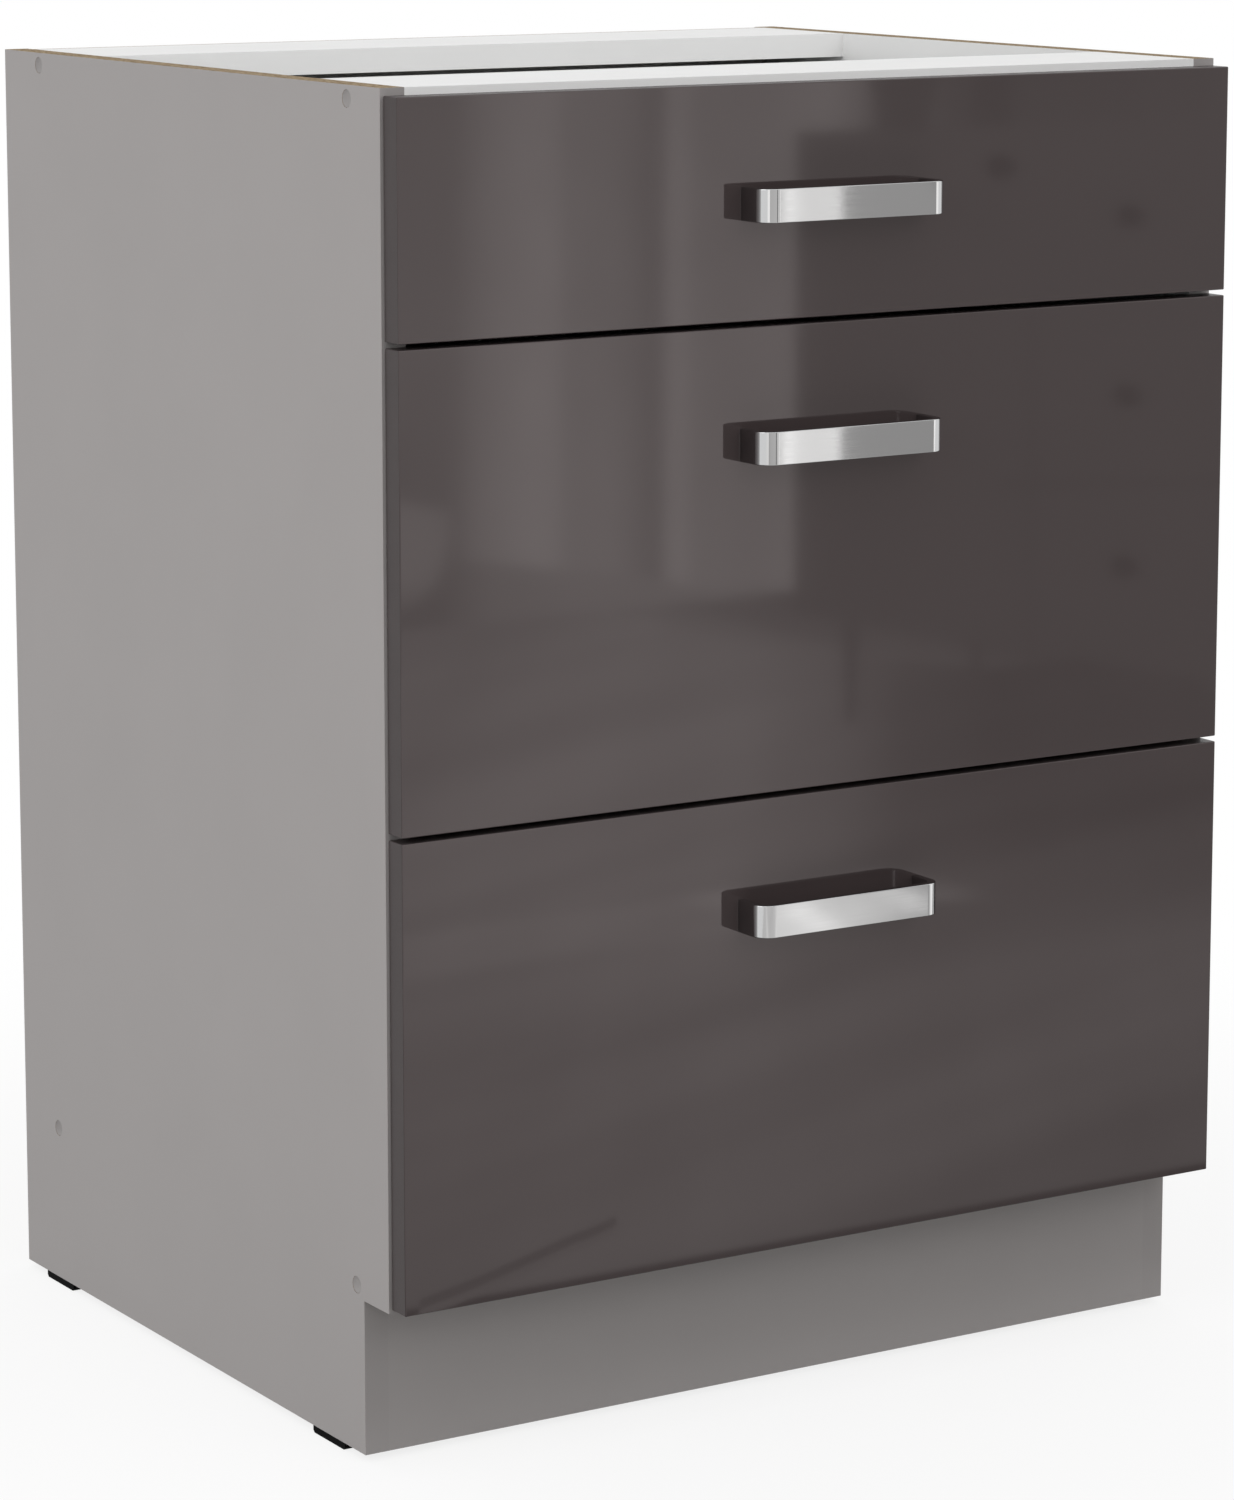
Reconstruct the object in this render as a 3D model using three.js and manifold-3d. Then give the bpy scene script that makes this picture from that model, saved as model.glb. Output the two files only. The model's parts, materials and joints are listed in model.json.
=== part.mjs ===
// Kitchen base cabinet with one shallow and two deep drawers, without a worktop. Millimetres, +Z up.
// The carcass is laminated chipboard held by carcass screws. Each drawer is a steel-sided box on roller
// runners: a fixed roller at the mouth of each runner carries the drawer's flange, and a roller at the
// drawer's rear end rolls inside the runner's channel.
// While it is built, X = 0 is the middle, Y = 0 the carcass's front edge and Z = 0 the floor. The exported
// group is then moved so that the origin is at the bottom centre of the whole object.

import * as THREE from "three";
import { mergeVertices } from "three/addons/utils/BufferGeometryUtils.js";
import Module from "manifold-3d";

const wasm = await Module();
wasm.setup();

// ---- Driving dimensions -------------------------------------------------------------------------------

// Carcass
const cabinetWidth = 600;
const cabinetHeight = 820;
const carcassDepth = 500;
const boardThickness = 16;
const railWidth = 100;
const backThickness = 3;
const backInset = 9; // from the rear edge of the sides to the rear face of the back
const grooveDepth = 6;
const toeHeight = 100; // floor to the underside of the bottom board
const toeSetback = 30; // front edge of the sides to the face of the plinth

// Glides nailed under the sides
const footHeight = 4.5;
const footLength = 40;
const footWidth = 14;
const footEdgeBevel = 1.5;
const frontFootSetback = 56;
const rearFootSetback = 29;

// Screws through the sides, their capped heads flush with the outer faces
const screwHeadRadius = 5;
const screwHeadChamfer = 0.6;
const screwHeadLength = 2.7;
const screwNeckLength = 2.5;
const screwShankRadius = 3.5;
const screwThreadRadius = 2.5;
const screwThreadLength = 34;
const screwPointLength = 2;
const screwEdgeDistance = 39; // from the outer long edge of the rail that it holds

// Drawer fronts
const frontThickness = 16;
const frontSideReveal = 1.5; // front's side edge to the cabinet's outer face
const frontStandoff = 1; // rear face of the fronts to the carcass's front edge
const frontTopReveal = 4.5;
const frontBottomReveal = 2.5; // above the underside of the bottom board
const frontGap = 3.5;
const shallowFrontHeight = 140;

// Handles
const handleHoleSpacing = 128;
const handleBarThickness = 5;
const handleBarHeight = 20;
const handleProjection = 26;
const handleCornerRadius = 8;
const handleDrop = 70; // top edge of a front to its handle's centre line

// Runners and rollers. Distances called "out" run from the carcass side's inner face to the middle.
const sheetThickness = 1.2;
const runnerSetback = 3;
const runnerRearGap = 35; // runner's rear end to the cabinet's back
const runnerChannelOut = 11.4;
const runnerUpturnHeight = 3;
const runnerLipOut = 4.6;
const runnerLipSetback = 40;
const lipPassingGap = 0.8; // edge of the runner's lip to the edge of the drawer's flange
const trackLift = 19.5; // a front's bottom edge to the runner's track
const rollerRadius = 9;
const rollerWidth = 6.5;
const rollerOut = 2.7;
const rollerHubRadius = 5;
const rollerRimThickness = 1.6;
const rollerHollowDepth = 1; // between hub and rim, on the roller's outer face
const axleRadius = 2.5;
const axleShoulderRadius = 4;
const axleHeadThickness = 0.7;
const frontRollerSetback = 19;
const rearRollerSetback = 12; // from the rear end of the drawer's side
const runnerRollerLift = 0.8; // fixed roller's underside above the track

// Drawer boxes
const drawerSideOut = 12.8;
const drawerRearSetback = 4; // drawer's rear end to its runner's
const drawerHeadroom = 6; // top drawer's sides to the front rail
const rimWidth = 5.8;
const rimDrop = 9;
const baseFlangeWidth = 14;
const frontTabWidth = 22;
const frontTabTopDrop = 12;
const rearTabLength = 26;
const rearTabDrop = 15;
const shallowBackTopDrop = 2;
const deepBackHeight = 165; // above the drawer's running flange
const galleryRailDrop = 15; // top edge of a deep drawer's back to its rails' centre line
const galleryRailOut = 22;
const galleryRailRadius = 4;
const gallerySocketRadius = 7;
const gallerySocketLength = 14;

// Clearances
const looseFit = 0.3; // between pieces that are put together
const runningFit = 0.3; // between pieces that move on each other
const rollingHeadroom = 0.5; // runner's lip above the roller that it holds down

const screwSegments = 12;
const axleSegments = 12;
const rodSegments = 16;
const rollerSegments = 20;
const cornerSegments = 6; // in each quarter turn of a handle

// ---- Sizes that follow --------------------------------------------------------------------------------

const halfWidth = cabinetWidth / 2;
const innerHalfWidth = halfWidth - boardThickness;
const backRearY = carcassDepth - backInset;
const backFrontY = backRearY - backThickness;
const bottomBoardTop = toeHeight + boardThickness;
const frontRearY = -frontStandoff;
const frontFaceY = frontRearY - frontThickness;
const frontWidth = cabinetWidth - 2 * frontSideReveal;
const frontsTop = cabinetHeight - frontTopReveal;
const frontsBottom = toeHeight + frontBottomReveal;
const deepFrontHeight = (frontsTop - frontsBottom - shallowFrontHeight - 2 * frontGap) / 2;
const handleLength = handleHoleSpacing + handleBarThickness;

// Heights inside a drawer group, from the bottom edge of its front.
const trackTop = trackLift;
const fixedRollerZ = trackTop + runnerRollerLift + rollerRadius;
const flangeBottom = fixedRollerZ + rollerRadius + runningFit;
const flangeTop = flangeBottom + sheetThickness;
const rearRollerZ = trackTop + runningFit + rollerRadius;
const lipBottom = rearRollerZ + rollerRadius + rollingHeadroom;
const drawerFloorTop = flangeTop + boardThickness;
const drawerSideTop = shallowFrontHeight + frontTopReveal - boardThickness - drawerHeadroom;
const runnerRearY = backFrontY - runnerRearGap;
const drawerRearY = runnerRearY - drawerRearSetback;
const wallInnerOut = drawerSideOut + sheetThickness;
const flangeOuterOut = runnerLipOut + lipPassingGap;

// ---- Materials ----------------------------------------------------------------------------------------

function finish(color, roughness, metalness) {
  return new THREE.MeshStandardMaterial({ color, roughness, metalness });
}

const materials = {
  greyBoard: finish(0xa2a09f, 0.5, 0),
  whiteBoard: finish(0xe6e6e6, 0.45, 0),
  glossFront: finish(0x544d4d, 0.08, 0),
  chrome: finish(0xd8d9da, 0.12, 1),
  paintedSteel: finish(0xd9dadb, 0.4, 0.3),
  zincSteel: finish(0xb4b6b8, 0.35, 0.9),
  nylon: finish(0xececea, 0.5, 0),
  blackPlastic: finish(0x141414, 0.6, 0),
  greyCap: finish(0x9b9998, 0.45, 0),
};

// ---- Shape helpers ------------------------------------------------------------------------------------

// A closed geometry as a solid that can be cut and joined.
function solidOf(geometry) {
  const plain = geometry.index ? geometry.toNonIndexed() : geometry.clone();
  plain.deleteAttribute("normal");
  plain.deleteAttribute("uv");
  const merged = mergeVertices(plain, 1e-4);
  return new wasm.Manifold(
    new wasm.Mesh({
      numProp: 3,
      vertProperties: new Float32Array(merged.attributes.position.array),
      triVerts: new Uint32Array(merged.index.array),
    }),
  );
}

// A solid back as a geometry.
function geometryOf(solid) {
  const mesh = solid.getMesh();
  const geometry = new THREE.BufferGeometry();
  geometry.setAttribute("position", new THREE.BufferAttribute(mesh.vertProperties, 3));
  geometry.setIndex(new THREE.BufferAttribute(mesh.triVerts, 1));
  geometry.computeVertexNormals();
  return geometry;
}

function joined(...geometries) {
  const solids = geometries.map(solidOf);
  return geometryOf(solids.reduce((sum, solid) => sum.add(solid)));
}

function cut(geometry, ...cutters) {
  return geometryOf(cutters.map(solidOf).reduce((left, cutter) => left.subtract(cutter), solidOf(geometry)));
}

function block([x0, y0, z0], [x1, y1, z1]) {
  const geometry = new THREE.BoxGeometry(Math.abs(x1 - x0), y1 - y0, z1 - z0);
  return geometry.translate((x0 + x1) / 2, (y0 + y1) / 2, (z0 + z1) / 2);
}

function outline(points) {
  return new THREE.Shape(points.map(([a, b]) => new THREE.Vector2(a, b)));
}

const straight = { bevelEnabled: false, curveSegments: cornerSegments };

// An outline in (X, Z) pushed along Y from y0 to y1.
function alongY(shape, y0, y1) {
  const geometry = new THREE.ExtrudeGeometry(shape, { ...straight, depth: y1 - y0 });
  return geometry.rotateX(Math.PI / 2).translate(0, y1, 0);
}

// An outline in (Y, Z) pushed along X from x0 to x1.
function alongX(shape, x0, x1) {
  const turn = new THREE.Matrix4().makeBasis(
    new THREE.Vector3(0, 1, 0),
    new THREE.Vector3(0, 0, 1),
    new THREE.Vector3(1, 0, 0),
  );
  const geometry = new THREE.ExtrudeGeometry(shape, { ...straight, depth: x1 - x0 });
  return geometry.applyMatrix4(turn).translate(x0, 0, 0);
}

// A profile of [radius, distance] turned round the X axis, the distance running along +X or -X.
function turnedOnX(profile, direction, segments) {
  const points = profile.map(([radius, distance]) => new THREE.Vector2(radius, distance));
  return new THREE.LatheGeometry(points, segments).rotateZ((-direction * Math.PI) / 2);
}

function turnedOnY(profile, segments) {
  return new THREE.LatheGeometry(
    profile.map(([radius, distance]) => new THREE.Vector2(radius, distance)),
    segments,
  );
}

function piece(name, geometry, material, position = [0, 0, 0]) {
  const mesh = new THREE.Mesh(geometry, material);
  mesh.name = name;
  mesh.position.set(...position);
  return mesh;
}

const sides = [
  { label: "left", sign: -1 },
  { label: "right", sign: 1 },
];

// The X of a point that lies "out" from the inner face of one side of the carcass.
function xAt(sign, out) {
  return sign * (innerHalfWidth - out);
}

// A block between two distances out from one side of the carcass.
function sideBlock(sign, [outA, y0, z0], [outB, y1, z1]) {
  const [x0, x1] = [xAt(sign, outA), xAt(sign, outB)].sort((a, b) => a - b);
  return block([x0, y0, z0], [x1, y1, z1]);
}

// ---- Carcass ------------------------------------------------------------------------------------------

const screwPlaces = [
  { label: "top_front", y: screwEdgeDistance, z: cabinetHeight - boardThickness / 2 },
  { label: "top_rear", y: backFrontY - screwEdgeDistance, z: cabinetHeight - boardThickness / 2 },
  { label: "bottom_front", y: screwEdgeDistance, z: toeHeight + boardThickness / 2 },
  { label: "bottom_rear", y: backFrontY - screwEdgeDistance, z: toeHeight + boardThickness / 2 },
];

// Radius against depth below the outer face of the side, for a screw or, with a clearance, for its bore.
function shankProfile(clearance) {
  const tip = boardThickness + screwThreadLength + clearance;
  return [
    [screwHeadRadius + clearance, screwHeadLength],
    [screwShankRadius + clearance, screwHeadLength + screwNeckLength],
    [screwShankRadius + clearance, boardThickness],
    [screwThreadRadius + clearance, boardThickness],
    [screwThreadRadius + clearance, tip - screwPointLength],
    [0, tip],
  ];
}

// What a screw needs cleared, from outside the side's face to past the screw's tip.
function screwBore(sign, { y, z }) {
  const mouth = -looseFit;
  const profile = [[0, mouth], [screwHeadRadius + looseFit, mouth], ...shankProfile(looseFit)];
  return turnedOnX(profile, -sign, screwSegments).translate(sign * halfWidth, y, z);
}

function makeScrews() {
  const head = [
    [0, 0],
    [screwHeadRadius - screwHeadChamfer, 0],
    [screwHeadRadius, screwHeadChamfer],
  ];
  return sides.flatMap(({ label, sign }) =>
    screwPlaces.map((place) => {
      const geometry = turnedOnX([...head, ...shankProfile(0)], -sign, screwSegments);
      const position = [sign * halfWidth, place.y, place.z];
      return piece(`carcass_screw_${place.label}_${label}`, geometry, materials.greyCap, position);
    }),
  );
}

function makeSidePanels() {
  const shape = outline([
    [toeSetback, footHeight],
    [carcassDepth, footHeight],
    [carcassDepth, cabinetHeight],
    [0, cabinetHeight],
    [0, toeHeight],
    [toeSetback, toeHeight],
  ]);
  return sides.map(({ label, sign }) => {
    const [x0, x1] = [sign * halfWidth, sign * innerHalfWidth].sort((a, b) => a - b);
    const groove = sideBlock(
      sign,
      [-grooveDepth, backFrontY - looseFit, footHeight - 1],
      [1, backRearY + looseFit, cabinetHeight + 1],
    );
    const bores = screwPlaces.map((place) => screwBore(sign, place));
    return piece(`side_panel_${label}`, cut(alongX(shape, x0, x1), groove, ...bores), materials.greyBoard);
  });
}

// A board between the two sides, bored at both ends for the screws named in boredAt.
function crossBoard(name, [y0, y1], z0, ...boredAt) {
  const board = block([-innerHalfWidth, y0, z0], [innerHalfWidth, y1, z0 + boardThickness]);
  const places = screwPlaces.filter(({ label }) => boredAt.includes(label));
  const bores = sides.flatMap(({ sign }) => places.map((place) => screwBore(sign, place)));
  return piece(name, cut(board, ...bores), materials.whiteBoard);
}

function makeFeet() {
  const rows = [
    { label: "front", y: frontFootSetback },
    { label: "rear", y: carcassDepth - rearFootSetback - footLength },
  ];
  const section = outline([
    [footEdgeBevel, 0],
    [footLength - footEdgeBevel, 0],
    [footLength, footEdgeBevel],
    [footLength, footHeight],
    [0, footHeight],
    [0, footEdgeBevel],
  ]);
  return rows.flatMap((row) =>
    sides.map(({ label, sign }) => {
      const inset = (boardThickness - footWidth) / 2;
      const [x0, x1] = [sign * (halfWidth - inset), sign * (innerHalfWidth + inset)].sort((a, b) => a - b);
      const name = `foot_${row.label}_${label}`;
      return piece(name, alongX(section, x0, x1), materials.blackPlastic, [0, row.y, 0]);
    }),
  );
}

function makeCarcass() {
  const carcass = new THREE.Group();
  const railBottom = cabinetHeight - boardThickness;
  carcass.add(...makeSidePanels());
  carcass.add(
    crossBoard("bottom_board", [0, backFrontY], toeHeight, "bottom_front", "bottom_rear"),
    crossBoard("top_rail_front", [0, railWidth], railBottom, "top_front"),
    crossBoard("top_rail_rear", [backFrontY - railWidth, backFrontY], railBottom, "top_rear"),
  );
  const backHalfWidth = innerHalfWidth + grooveDepth - looseFit;
  const plinthRearY = toeSetback + boardThickness;
  carcass.add(
    piece(
      "back_board",
      block([-backHalfWidth, backFrontY, toeHeight], [backHalfWidth, backRearY, cabinetHeight]),
      materials.whiteBoard,
    ),
    piece(
      "plinth_board",
      block([-innerHalfWidth, toeSetback, footHeight], [innerHalfWidth, plinthRearY, toeHeight]),
      materials.greyBoard,
    ),
  );
  carcass.add(...makeFeet(), ...makeScrews());
  return carcass;
}

// ---- Runners and rollers ------------------------------------------------------------------------------

// The stub that a roller turns on: a shoulder at its root, the bearing stretch and a riveted head.
// Distances run from the face that the stub grows from, which it starts half a sheet inside.
function axleProfile(rootToRoller) {
  const rollerStart = rootToRoller - runningFit;
  const rollerEnd = rootToRoller + rollerWidth + runningFit;
  return [
    [0, -sheetThickness / 2],
    [axleShoulderRadius, -sheetThickness / 2],
    [axleShoulderRadius, rollerStart],
    [axleRadius, rollerStart],
    [axleRadius, rollerEnd],
    [axleShoulderRadius, rollerEnd],
    [axleShoulderRadius, rollerEnd + axleHeadThickness],
    [0, rollerEnd + axleHeadThickness],
  ];
}

function makeRoller(name, sign, y, z) {
  const bore = axleRadius + runningFit;
  const rimInside = rollerRadius - rollerRimThickness;
  const profile = [
    [bore, 0],
    [rollerRadius, 0],
    [rollerRadius, rollerWidth],
    [rimInside, rollerWidth],
    [rimInside, rollerWidth - rollerHollowDepth],
    [rollerHubRadius, rollerWidth - rollerHollowDepth],
    [rollerHubRadius, rollerWidth],
    [bore, rollerWidth],
    [bore, 0],
  ];
  const geometry = turnedOnX(profile, -sign, rollerSegments);
  return piece(name, geometry, materials.nylon, [xAt(sign, rollerOut), y, z]);
}

// The fixed half of a runner: a channel that is open to the drawer, with its front roller's axle.
function makeRunner(name, sign) {
  const section = outline(
    [
      [0, trackTop - sheetThickness],
      [runnerChannelOut, trackTop - sheetThickness],
      [runnerChannelOut, trackTop + runnerUpturnHeight],
      [runnerChannelOut - sheetThickness, trackTop + runnerUpturnHeight],
      [runnerChannelOut - sheetThickness, trackTop],
      [sheetThickness, trackTop],
      [sheetThickness, lipBottom + sheetThickness],
      [0, lipBottom + sheetThickness],
    ].map(([out, z]) => [xAt(sign, out), z]),
  );
  const lip = sideBlock(
    sign,
    [0, runnerLipSetback, lipBottom],
    [runnerLipOut, runnerRearY, lipBottom + sheetThickness],
  );
  const axle = turnedOnX(axleProfile(rollerOut - sheetThickness), -sign, axleSegments).translate(
    xAt(sign, sheetThickness),
    frontRollerSetback,
    fixedRollerZ,
  );
  return piece(name, joined(alongY(section, runnerSetback, runnerRearY), lip, axle), materials.zincSteel);
}

// ---- Drawers ------------------------------------------------------------------------------------------

// A steel drawer side: the running flange and the base's flange at its foot, and a folded rim at its top.
function makeDrawerSide(name, sign) {
  const rimOut = wallInnerOut - rimWidth - sheetThickness;
  const section = outline(
    [
      [flangeOuterOut, flangeBottom],
      [wallInnerOut + baseFlangeWidth, flangeBottom],
      [wallInnerOut + baseFlangeWidth, flangeTop],
      [wallInnerOut, flangeTop],
      [wallInnerOut, drawerSideTop - sheetThickness],
      [wallInnerOut - sheetThickness, drawerSideTop],
      [rimOut + sheetThickness, drawerSideTop],
      [rimOut, drawerSideTop - sheetThickness],
      [rimOut, drawerSideTop - rimDrop],
      [rimOut + sheetThickness, drawerSideTop - rimDrop],
      [rimOut + sheetThickness, drawerSideTop - sheetThickness],
      [drawerSideOut, drawerSideTop - sheetThickness],
      [drawerSideOut, flangeTop],
      [flangeOuterOut, flangeTop],
    ].map(([out, z]) => [xAt(sign, out), z]),
  );
  const frontTab = sideBlock(
    sign,
    [drawerSideOut, frontRearY, drawerFloorTop + looseFit],
    [wallInnerOut + frontTabWidth, frontRearY + sheetThickness, drawerSideTop - frontTabTopDrop],
  );
  const rearTab = sideBlock(
    sign,
    [drawerSideOut, drawerRearY - rearTabLength, flangeBottom - rearTabDrop],
    [wallInnerOut, drawerRearY, flangeTop],
  );
  const axle = turnedOnX(
    axleProfile(drawerSideOut - rollerOut - rollerWidth),
    sign,
    axleSegments,
  ).translate(xAt(sign, drawerSideOut), drawerRearY - rearRollerSetback, rearRollerZ);
  const side = joined(alongY(section, frontRearY, drawerRearY), frontTab, rearTab, axle);
  return piece(name, side, materials.paintedSteel);
}

function makeHandle(name, frontHeight) {
  const halfLength = handleLength / 2;
  const radius = handleCornerRadius;
  const innerRadius = radius - handleBarThickness;
  const innerHalf = halfLength - handleBarThickness;
  const innerProjection = handleProjection - handleBarThickness;
  const shape = new THREE.Shape();
  shape.moveTo(-halfLength, 0);
  shape.lineTo(-halfLength, -handleProjection + radius);
  shape.absarc(-halfLength + radius, -handleProjection + radius, radius, Math.PI, 1.5 * Math.PI, false);
  shape.lineTo(halfLength - radius, -handleProjection);
  shape.absarc(halfLength - radius, -handleProjection + radius, radius, 1.5 * Math.PI, 2 * Math.PI, false);
  shape.lineTo(halfLength, 0);
  shape.lineTo(innerHalf, 0);
  shape.lineTo(innerHalf, -innerProjection + innerRadius);
  shape.absarc(innerHalf - innerRadius, -innerProjection + innerRadius, innerRadius, 0, -Math.PI / 2, true);
  shape.lineTo(-innerHalf + innerRadius, -innerProjection);
  shape.absarc(innerRadius - innerHalf, innerRadius - innerProjection, innerRadius, -Math.PI / 2, -Math.PI, true);
  shape.lineTo(-innerHalf, 0);
  const geometry = new THREE.ExtrudeGeometry(shape, { ...straight, depth: handleBarHeight });
  const centreZ = frontHeight - handleDrop;
  return piece(name, geometry, materials.chrome, [0, frontFaceY, centreZ - handleBarHeight / 2]);
}

// The rod above a deep drawer's side, with a socket against the front and one against the back.
function makeGalleryRail(name, sign, backFrontFaceY) {
  const length = backFrontFaceY - frontRearY;
  const profile = [
    [0, 0],
    [gallerySocketRadius, 0],
    [gallerySocketRadius, gallerySocketLength],
    [galleryRailRadius, gallerySocketLength],
    [galleryRailRadius, length - gallerySocketLength],
    [gallerySocketRadius, length - gallerySocketLength],
    [gallerySocketRadius, length],
    [0, length],
  ];
  const position = [xAt(sign, galleryRailOut), frontRearY, flangeBottom + deepBackHeight - galleryRailDrop];
  return piece(name, turnedOnY(profile, rodSegments), materials.paintedSteel, position);
}

function makeDrawer({ label, frontHeight, bottomZ, deep }) {
  const drawer = new THREE.Group();
  drawer.position.z = bottomZ;
  const boxHalfWidth = innerHalfWidth - wallInnerOut - looseFit;
  const backFrontFaceY = drawerRearY - boardThickness;
  const backTop = deep ? flangeBottom + deepBackHeight : drawerSideTop - shallowBackTopDrop;
  drawer.add(
    piece(
      `${label}_front`,
      block([-frontWidth / 2, frontFaceY, 0], [frontWidth / 2, frontRearY, frontHeight]),
      materials.glossFront,
    ),
    makeHandle(`${label}_handle`, frontHeight),
    piece(
      `${label}_drawer_base`,
      block([-boxHalfWidth, frontRearY, flangeTop], [boxHalfWidth, drawerRearY, drawerFloorTop]),
      materials.whiteBoard,
    ),
    piece(
      `${label}_drawer_back`,
      block([-boxHalfWidth, backFrontFaceY, drawerFloorTop], [boxHalfWidth, drawerRearY, backTop]),
      materials.whiteBoard,
    ),
  );
  for (const { label: side, sign } of sides) {
    drawer.add(
      makeDrawerSide(`${label}_drawer_side_${side}`, sign),
      makeRunner(`${label}_runner_${side}`, sign),
      makeRoller(`${label}_runner_roller_${side}`, sign, frontRollerSetback, fixedRollerZ),
      makeRoller(`${label}_drawer_roller_${side}`, sign, drawerRearY - rearRollerSetback, rearRollerZ),
    );
    if (deep) drawer.add(makeGalleryRail(`${label}_gallery_rail_${side}`, sign, backFrontFaceY));
  }
  return drawer;
}

// ---- The whole cabinet --------------------------------------------------------------------------------

const middleFrontBottom = frontsBottom + deepFrontHeight + frontGap;
const topFrontBottom = frontsTop - shallowFrontHeight;

const drawers = [
  { label: "bottom", frontHeight: deepFrontHeight, bottomZ: frontsBottom, deep: true },
  { label: "middle", frontHeight: deepFrontHeight, bottomZ: middleFrontBottom, deep: true },
  { label: "top", frontHeight: shallowFrontHeight, bottomZ: topFrontBottom, deep: false },
];

const cabinet = new THREE.Group();
cabinet.add(makeCarcass(), ...drawers.map(makeDrawer));
cabinet.position.y = -(carcassDepth + frontFaceY - handleProjection) / 2;

export default cabinet;
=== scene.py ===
"""Looks of a kitchen base cabinet with drawers: laminated boards, gloss fronts, chrome handles,
steel-sided drawers on roller runners, and the pale studio that it stands in. Metres, +Z up."""

import json
import math

import bmesh
import bpy
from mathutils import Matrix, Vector


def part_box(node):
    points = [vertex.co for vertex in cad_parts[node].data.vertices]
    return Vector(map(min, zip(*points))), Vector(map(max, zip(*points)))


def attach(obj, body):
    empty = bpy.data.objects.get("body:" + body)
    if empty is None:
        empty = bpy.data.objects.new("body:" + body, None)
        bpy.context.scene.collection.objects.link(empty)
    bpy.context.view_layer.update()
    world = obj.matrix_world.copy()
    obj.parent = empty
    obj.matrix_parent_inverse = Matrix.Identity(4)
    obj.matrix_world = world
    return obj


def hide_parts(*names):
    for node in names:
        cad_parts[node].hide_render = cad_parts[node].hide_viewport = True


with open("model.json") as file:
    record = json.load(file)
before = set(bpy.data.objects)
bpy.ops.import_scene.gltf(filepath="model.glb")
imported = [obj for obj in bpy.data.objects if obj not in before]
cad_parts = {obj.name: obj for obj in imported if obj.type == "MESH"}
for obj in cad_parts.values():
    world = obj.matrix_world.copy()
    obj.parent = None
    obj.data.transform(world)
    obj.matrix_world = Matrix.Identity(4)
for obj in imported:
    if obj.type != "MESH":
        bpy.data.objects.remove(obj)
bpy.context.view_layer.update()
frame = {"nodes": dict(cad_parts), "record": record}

MM = 0.001
X, Y, Z = range(3)
ORIGIN = (0.0, 0.0, 0.0)
DRAWERS = ("bottom", "middle", "top")
DEEP_DRAWERS = ("bottom", "middle")
SIDES = (("left", -1), ("right", 1))

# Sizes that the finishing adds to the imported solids
BOARD_EDGE = 0.2 * MM
BACK_EDGE = 0.15 * MM
FRONT_EDGE = 0.7 * MM
SHEET_EDGE = 0.45 * MM
GLIDE_EDGE = 0.15 * MM
HANDLE_BAR = 5.0 * MM
HANDLE_CORNER = 11.0 * MM
HANDLE_EDGE = 0.5 * MM

BODY_OF = {
    node: body
    for body, members in frame["record"]["behaviour"]["bodies"].items()
    for node in members
}


# ---- Finishes -----------------------------------------------------------------------------------


def add_node(tree, kind, inputs=None, **settings):
    """A new node, its settings made and its inputs linked to sockets or set to values."""
    made = tree.nodes.new(kind)
    for key, value in settings.items():
        setattr(made, key, value)
    for key, value in (inputs or {}).items():
        if isinstance(value, bpy.types.NodeSocket):
            tree.links.new(value, made.inputs[key])
        else:
            made.inputs[key].default_value = value
    return made


class Nodes:
    """A material's node tree, built one node at a time on the piece's own coordinates."""

    def __init__(self, name):
        self.material = bpy.data.materials.new(name)
        self.material.use_nodes = True
        self.tree = self.material.node_tree
        self.place = self.add("ShaderNodeTexCoord").outputs["Object"]

    def add(self, kind, inputs=None, **settings):
        return add_node(self.tree, kind, inputs, **settings)

    def math(self, operation, *values, **settings):
        inputs = dict(enumerate(values))
        return self.add("ShaderNodeMath", inputs, operation=operation, **settings).outputs["Value"]

    def scaled(self, size):
        """The place in units of `size`, one number or one for each axis, in metres."""
        sizes = size if isinstance(size, tuple) else (size,) * 3
        inputs = {"Vector": self.place, "Scale": [1.0 / s for s in sizes]}
        return self.add("ShaderNodeMapping", inputs).outputs["Vector"]

    def noise(self, vector, detail=2.0, **inputs):
        inputs.update({"Vector": vector, "Scale": 1.0, "Detail": detail})
        return self.add("ShaderNodeTexNoise", inputs).outputs["Fac"]

    def grain(self, size, detail=2.0, roughness=0.5, distortion=0.0):
        """Noise whose features measure `size`."""
        return self.noise(self.scaled(size), detail, Roughness=roughness, Distortion=distortion)

    def cells(self, size, feature="F1"):
        inputs = {"Vector": self.scaled(size), "Scale": 1.0}
        return self.add("ShaderNodeTexVoronoi", inputs, feature=feature)

    def between(self, value, low, high, start=0.3, end=0.7, **settings):
        """The value, which runs from start to end, brought to run from low to high."""
        inputs = {"Value": value, "From Min": start, "From Max": end, "To Min": low, "To Max": high}
        return self.add("ShaderNodeMapRange", inputs, **settings).outputs["Result"]

    def ramp(self, value, *stops):
        """Colours along a value, given as (position, colour)."""
        made = self.add("ShaderNodeValToRGB", {"Fac": value})
        elements = made.color_ramp.elements
        while len(elements) < len(stops):
            elements.new(0.5)
        for element, (position, colour) in zip(elements, stops):
            element.position = position
            element.color = (*colour, 1.0)
        return made.outputs["Color"]

    def show(self, surface):
        self.tree.links.new(surface, self.tree.nodes["Material Output"].inputs["Surface"])


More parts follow.
